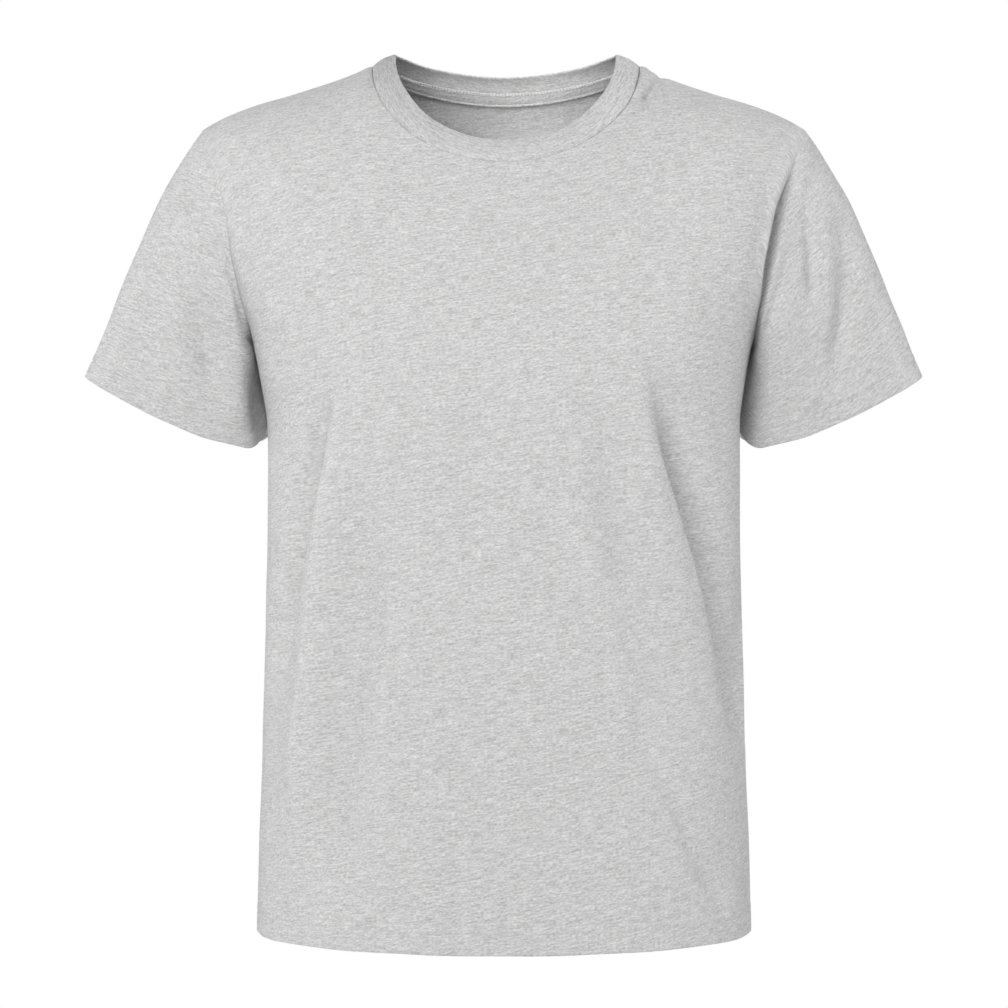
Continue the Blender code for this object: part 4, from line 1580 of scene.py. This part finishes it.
@dataclass
class Shirt:
    """The whole shirt: two panels, two sleeves, the neckband and the tape inside the back neck."""

    form: TrunkForm = TrunkForm()

    def cut(self) -> list[SewnPiece]:
        """Lays out the pieces, with like normals on both sides of each seam.

        Returns:
            The front, the back, both sleeves, the band and the tape.
        """
        front = Panel(Side.FRONT, self.form, Unevenness(11, 0.35 * MM, 50 * MM, 160 * MM))
        back = Panel(Side.BACK, self.form, Unevenness(12, 0.40 * MM, 50 * MM, 160 * MM), flat_area=0.350)
        for seam in (np.s_[:, 0], np.s_[:, -1], *self.shoulders(front)):
            shared = share_normals(front.cloth.normals[seam], back.cloth.normals[seam])
            front.cloth.normals[seam], back.cloth.normals[seam] = shared
        neck = front.neck()
        band = Neckband(neck.gather(front.cloth.laid, back.cloth.laid))
        neck.sew_to(band.cloth, front.cloth, back.cloth)
        sleeves = []
        for arm, seed in ((Arm.LEFT, 21), (Arm.RIGHT, 22)):
            armhole = front.armhole(arm)
            loop = armhole.gather(front.cloth.base, back.cloth.base)
            sleeves.append(Sleeve(arm, self.form, loop, Unevenness(seed, 0.45 * MM, 35 * MM, 110 * MM)))
            armhole.sew_to(sleeves[-1].cloth, front.cloth, back.cloth)
        return [front, back, *sleeves, band, NeckTape(self.form)]

    def shoulders(self, panel: Panel) -> tuple[tuple, tuple]:
        """The two shoulder seams, as parts of either panel's grid."""
        right, left = panel.neck_ends
        return np.s_[-1, : right + 1], np.s_[-1, left:]

    def build(self) -> list[Object]:
        """Makes every piece and dresses it.

        Returns:
            The pieces.
        """
        jersey = MelangeKnit().build()
        knits = {
            "sleeve_right": MelangeKnit("melange_jersey_right_sleeve", slant=-MelangeKnit.slant).build(),
            "neckband": MelangeKnit(
                "neckband_rib", (0.8165, 0.815, 0.813), slant=0.0, rib=1.3 * MM, rib_relief=0.045 * MM
            ).build(),
            "back_neck_tape": MelangeKnit("neck_tape", (0.8015, 0.800, 0.798)).build(),
        }
        hem_thread = SewingThread("hem_thread", (0.62, 0.62, 0.62)).build()
        threads = {"back_neck_tape": SewingThread("chain_thread", (0.88, 0.88, 0.87)).build()}
        pieces = self.cut()
        for piece in pieces:
            piece.shape()
        front, back = pieces[:2]
        for seam in self.shoulders(front):
            middle = (front.cloth.points[seam] + back.cloth.points[seam]) / 2
            front.cloth.points[seam] = back.cloth.points[seam] = middle
        built = []
        for piece in pieces:
            built += piece.build(knits.get(piece.node, jersey), threads.get(piece.node, hem_thread))
        return built


@dataclass(frozen=True)
class SoftLight:
    """A soft square light: degrees round from the front and up from level, its side and its watts."""

    name: str
    around: float
    above: float
    size: float
    power: float
    spread: float = 180.0
    distance: float = 3.0
    faces: Place = (0.0, 0.0, -0.356)


@dataclass(frozen=True)
class Studio:
    """A plain pale floor at the wearer's feet, white surroundings, soft lights and the camera.

    The inner neck light is a small one just inside the neck opening, which lights the back neck.
    """

    floor_height: float = -1.45
    floor_radius: float = 3.4
    floor_corners: int = 128
    camera_place: Place = (0.0, -2.4, -0.356)
    focal_pixels: float = 2959.0
    picture_pixels: float = 1008.0
    sensor: float = 36.0
    surroundings: float = 0.18
    floor_colour: tuple[float, float, float, float] = (0.65, 0.65, 0.65, 1.0)
    floor_roughness: float = 0.9
    lights: tuple[SoftLight, ...] = (
        SoftLight("key_light", -27, 18, 1.7, 58),
        SoftLight("high_front_light", 0, 36, 1.7, 40),
        SoftLight("low_front_light", 0, -15, 1.7, 11),
        SoftLight("left_side_light", 90, 10, 1.7, 49),
        SoftLight("right_side_light", -110, 0, 1.7, 37),
        SoftLight("back_light", 172, 28, 1.7, 62),
        SoftLight("inner_neck_light", 8, 4, 0.06, 0.021, 95, 0.10, (0.020, 0.055, -0.056)),
    )

    def build(self) -> None:
        """Makes the floor, the surroundings, the lights and the camera."""
        self.add_camera()
        self.add_surroundings()
        for light in self.lights:
            self.add_light(light)
        self.add_floor()
        bpy.context.scene.view_settings.view_transform = "Standard"

    def add(self, name: str, data: bpy.types.ID) -> Object:
        """Puts a new object in the scene.

        Args:
            name: The object's name.
            data: What it shows.

        Returns:
            The new object.
        """
        thing = bpy.data.objects.new(name, data)
        bpy.context.scene.collection.objects.link(thing)
        return thing

    def add_camera(self) -> None:
        """Makes the camera: level, straight in front."""
        data = bpy.data.cameras.new("camera")
        data.sensor_width = self.sensor
        data.lens = self.focal_pixels * self.sensor / self.picture_pixels
        camera = self.add("camera", data)
        camera.location = self.camera_place
        camera.rotation_euler = (math.pi / 2, 0, 0)
        bpy.context.scene.camera = camera

    def add_surroundings(self) -> None:
        """Makes the world: it lights softly, and a look past the shirt meets plain white."""
        world = bpy.data.worlds.new("surroundings")
        bpy.context.scene.world = world
        sketch = NodeSketch(world)
        seen = sketch.add("ShaderNodeLightPath", "Is Camera Ray", {})
        strength = sketch.maths("MULTIPLY_ADD", seen, 1 - self.surroundings, self.surroundings)
        sketch.shade("Background", Color=(1, 1, 1, 1), Strength=strength)

    def add_light(self, light: SoftLight) -> None:
        """Makes a soft square light.

        Args:
            light: The light.
        """
        around, above = math.radians(light.around), math.radians(light.above)
        away = Vector((math.sin(around), -math.cos(around), 0)) * math.cos(above)
        away.z = math.sin(above)
        data = bpy.data.lights.new(light.name, "AREA")
        data.shape = "SQUARE"
        data.size = light.size
        data.spread = math.radians(light.spread)
        data.energy = light.power
        lamp = self.add(light.name, data)
        lamp.location = Vector(light.faces) + light.distance * away
        lamp.rotation_euler = (-away).to_track_quat("-Z", "Y").to_euler()
        lamp.visible_camera = False

    def add_floor(self) -> None:
        """Makes the floor: a wide pale disc."""
        bpy.ops.mesh.primitive_circle_add(
            vertices=self.floor_corners, radius=self.floor_radius, fill_type="NGON",
            location=(0, 0, self.floor_height),
        )
        floor = bpy.context.object
        floor.name = "floor"
        material = bpy.data.materials.new("pale_floor")
        NodeSketch(material).shade(Base_Color=self.floor_colour, Roughness=self.floor_roughness)
        floor.data.materials.append(material)


def main() -> None:
    """Builds the studio and the shirt, and reports each piece."""
    logging.basicConfig(level=logging.INFO, format="%(message)s")
    Studio().build()
    for piece in Shirt().build():
        log.info("%s: %d points, %d faces", piece.name, len(piece.data.vertices), len(piece.data.polygons))


if __name__ == "__main__":
    main()
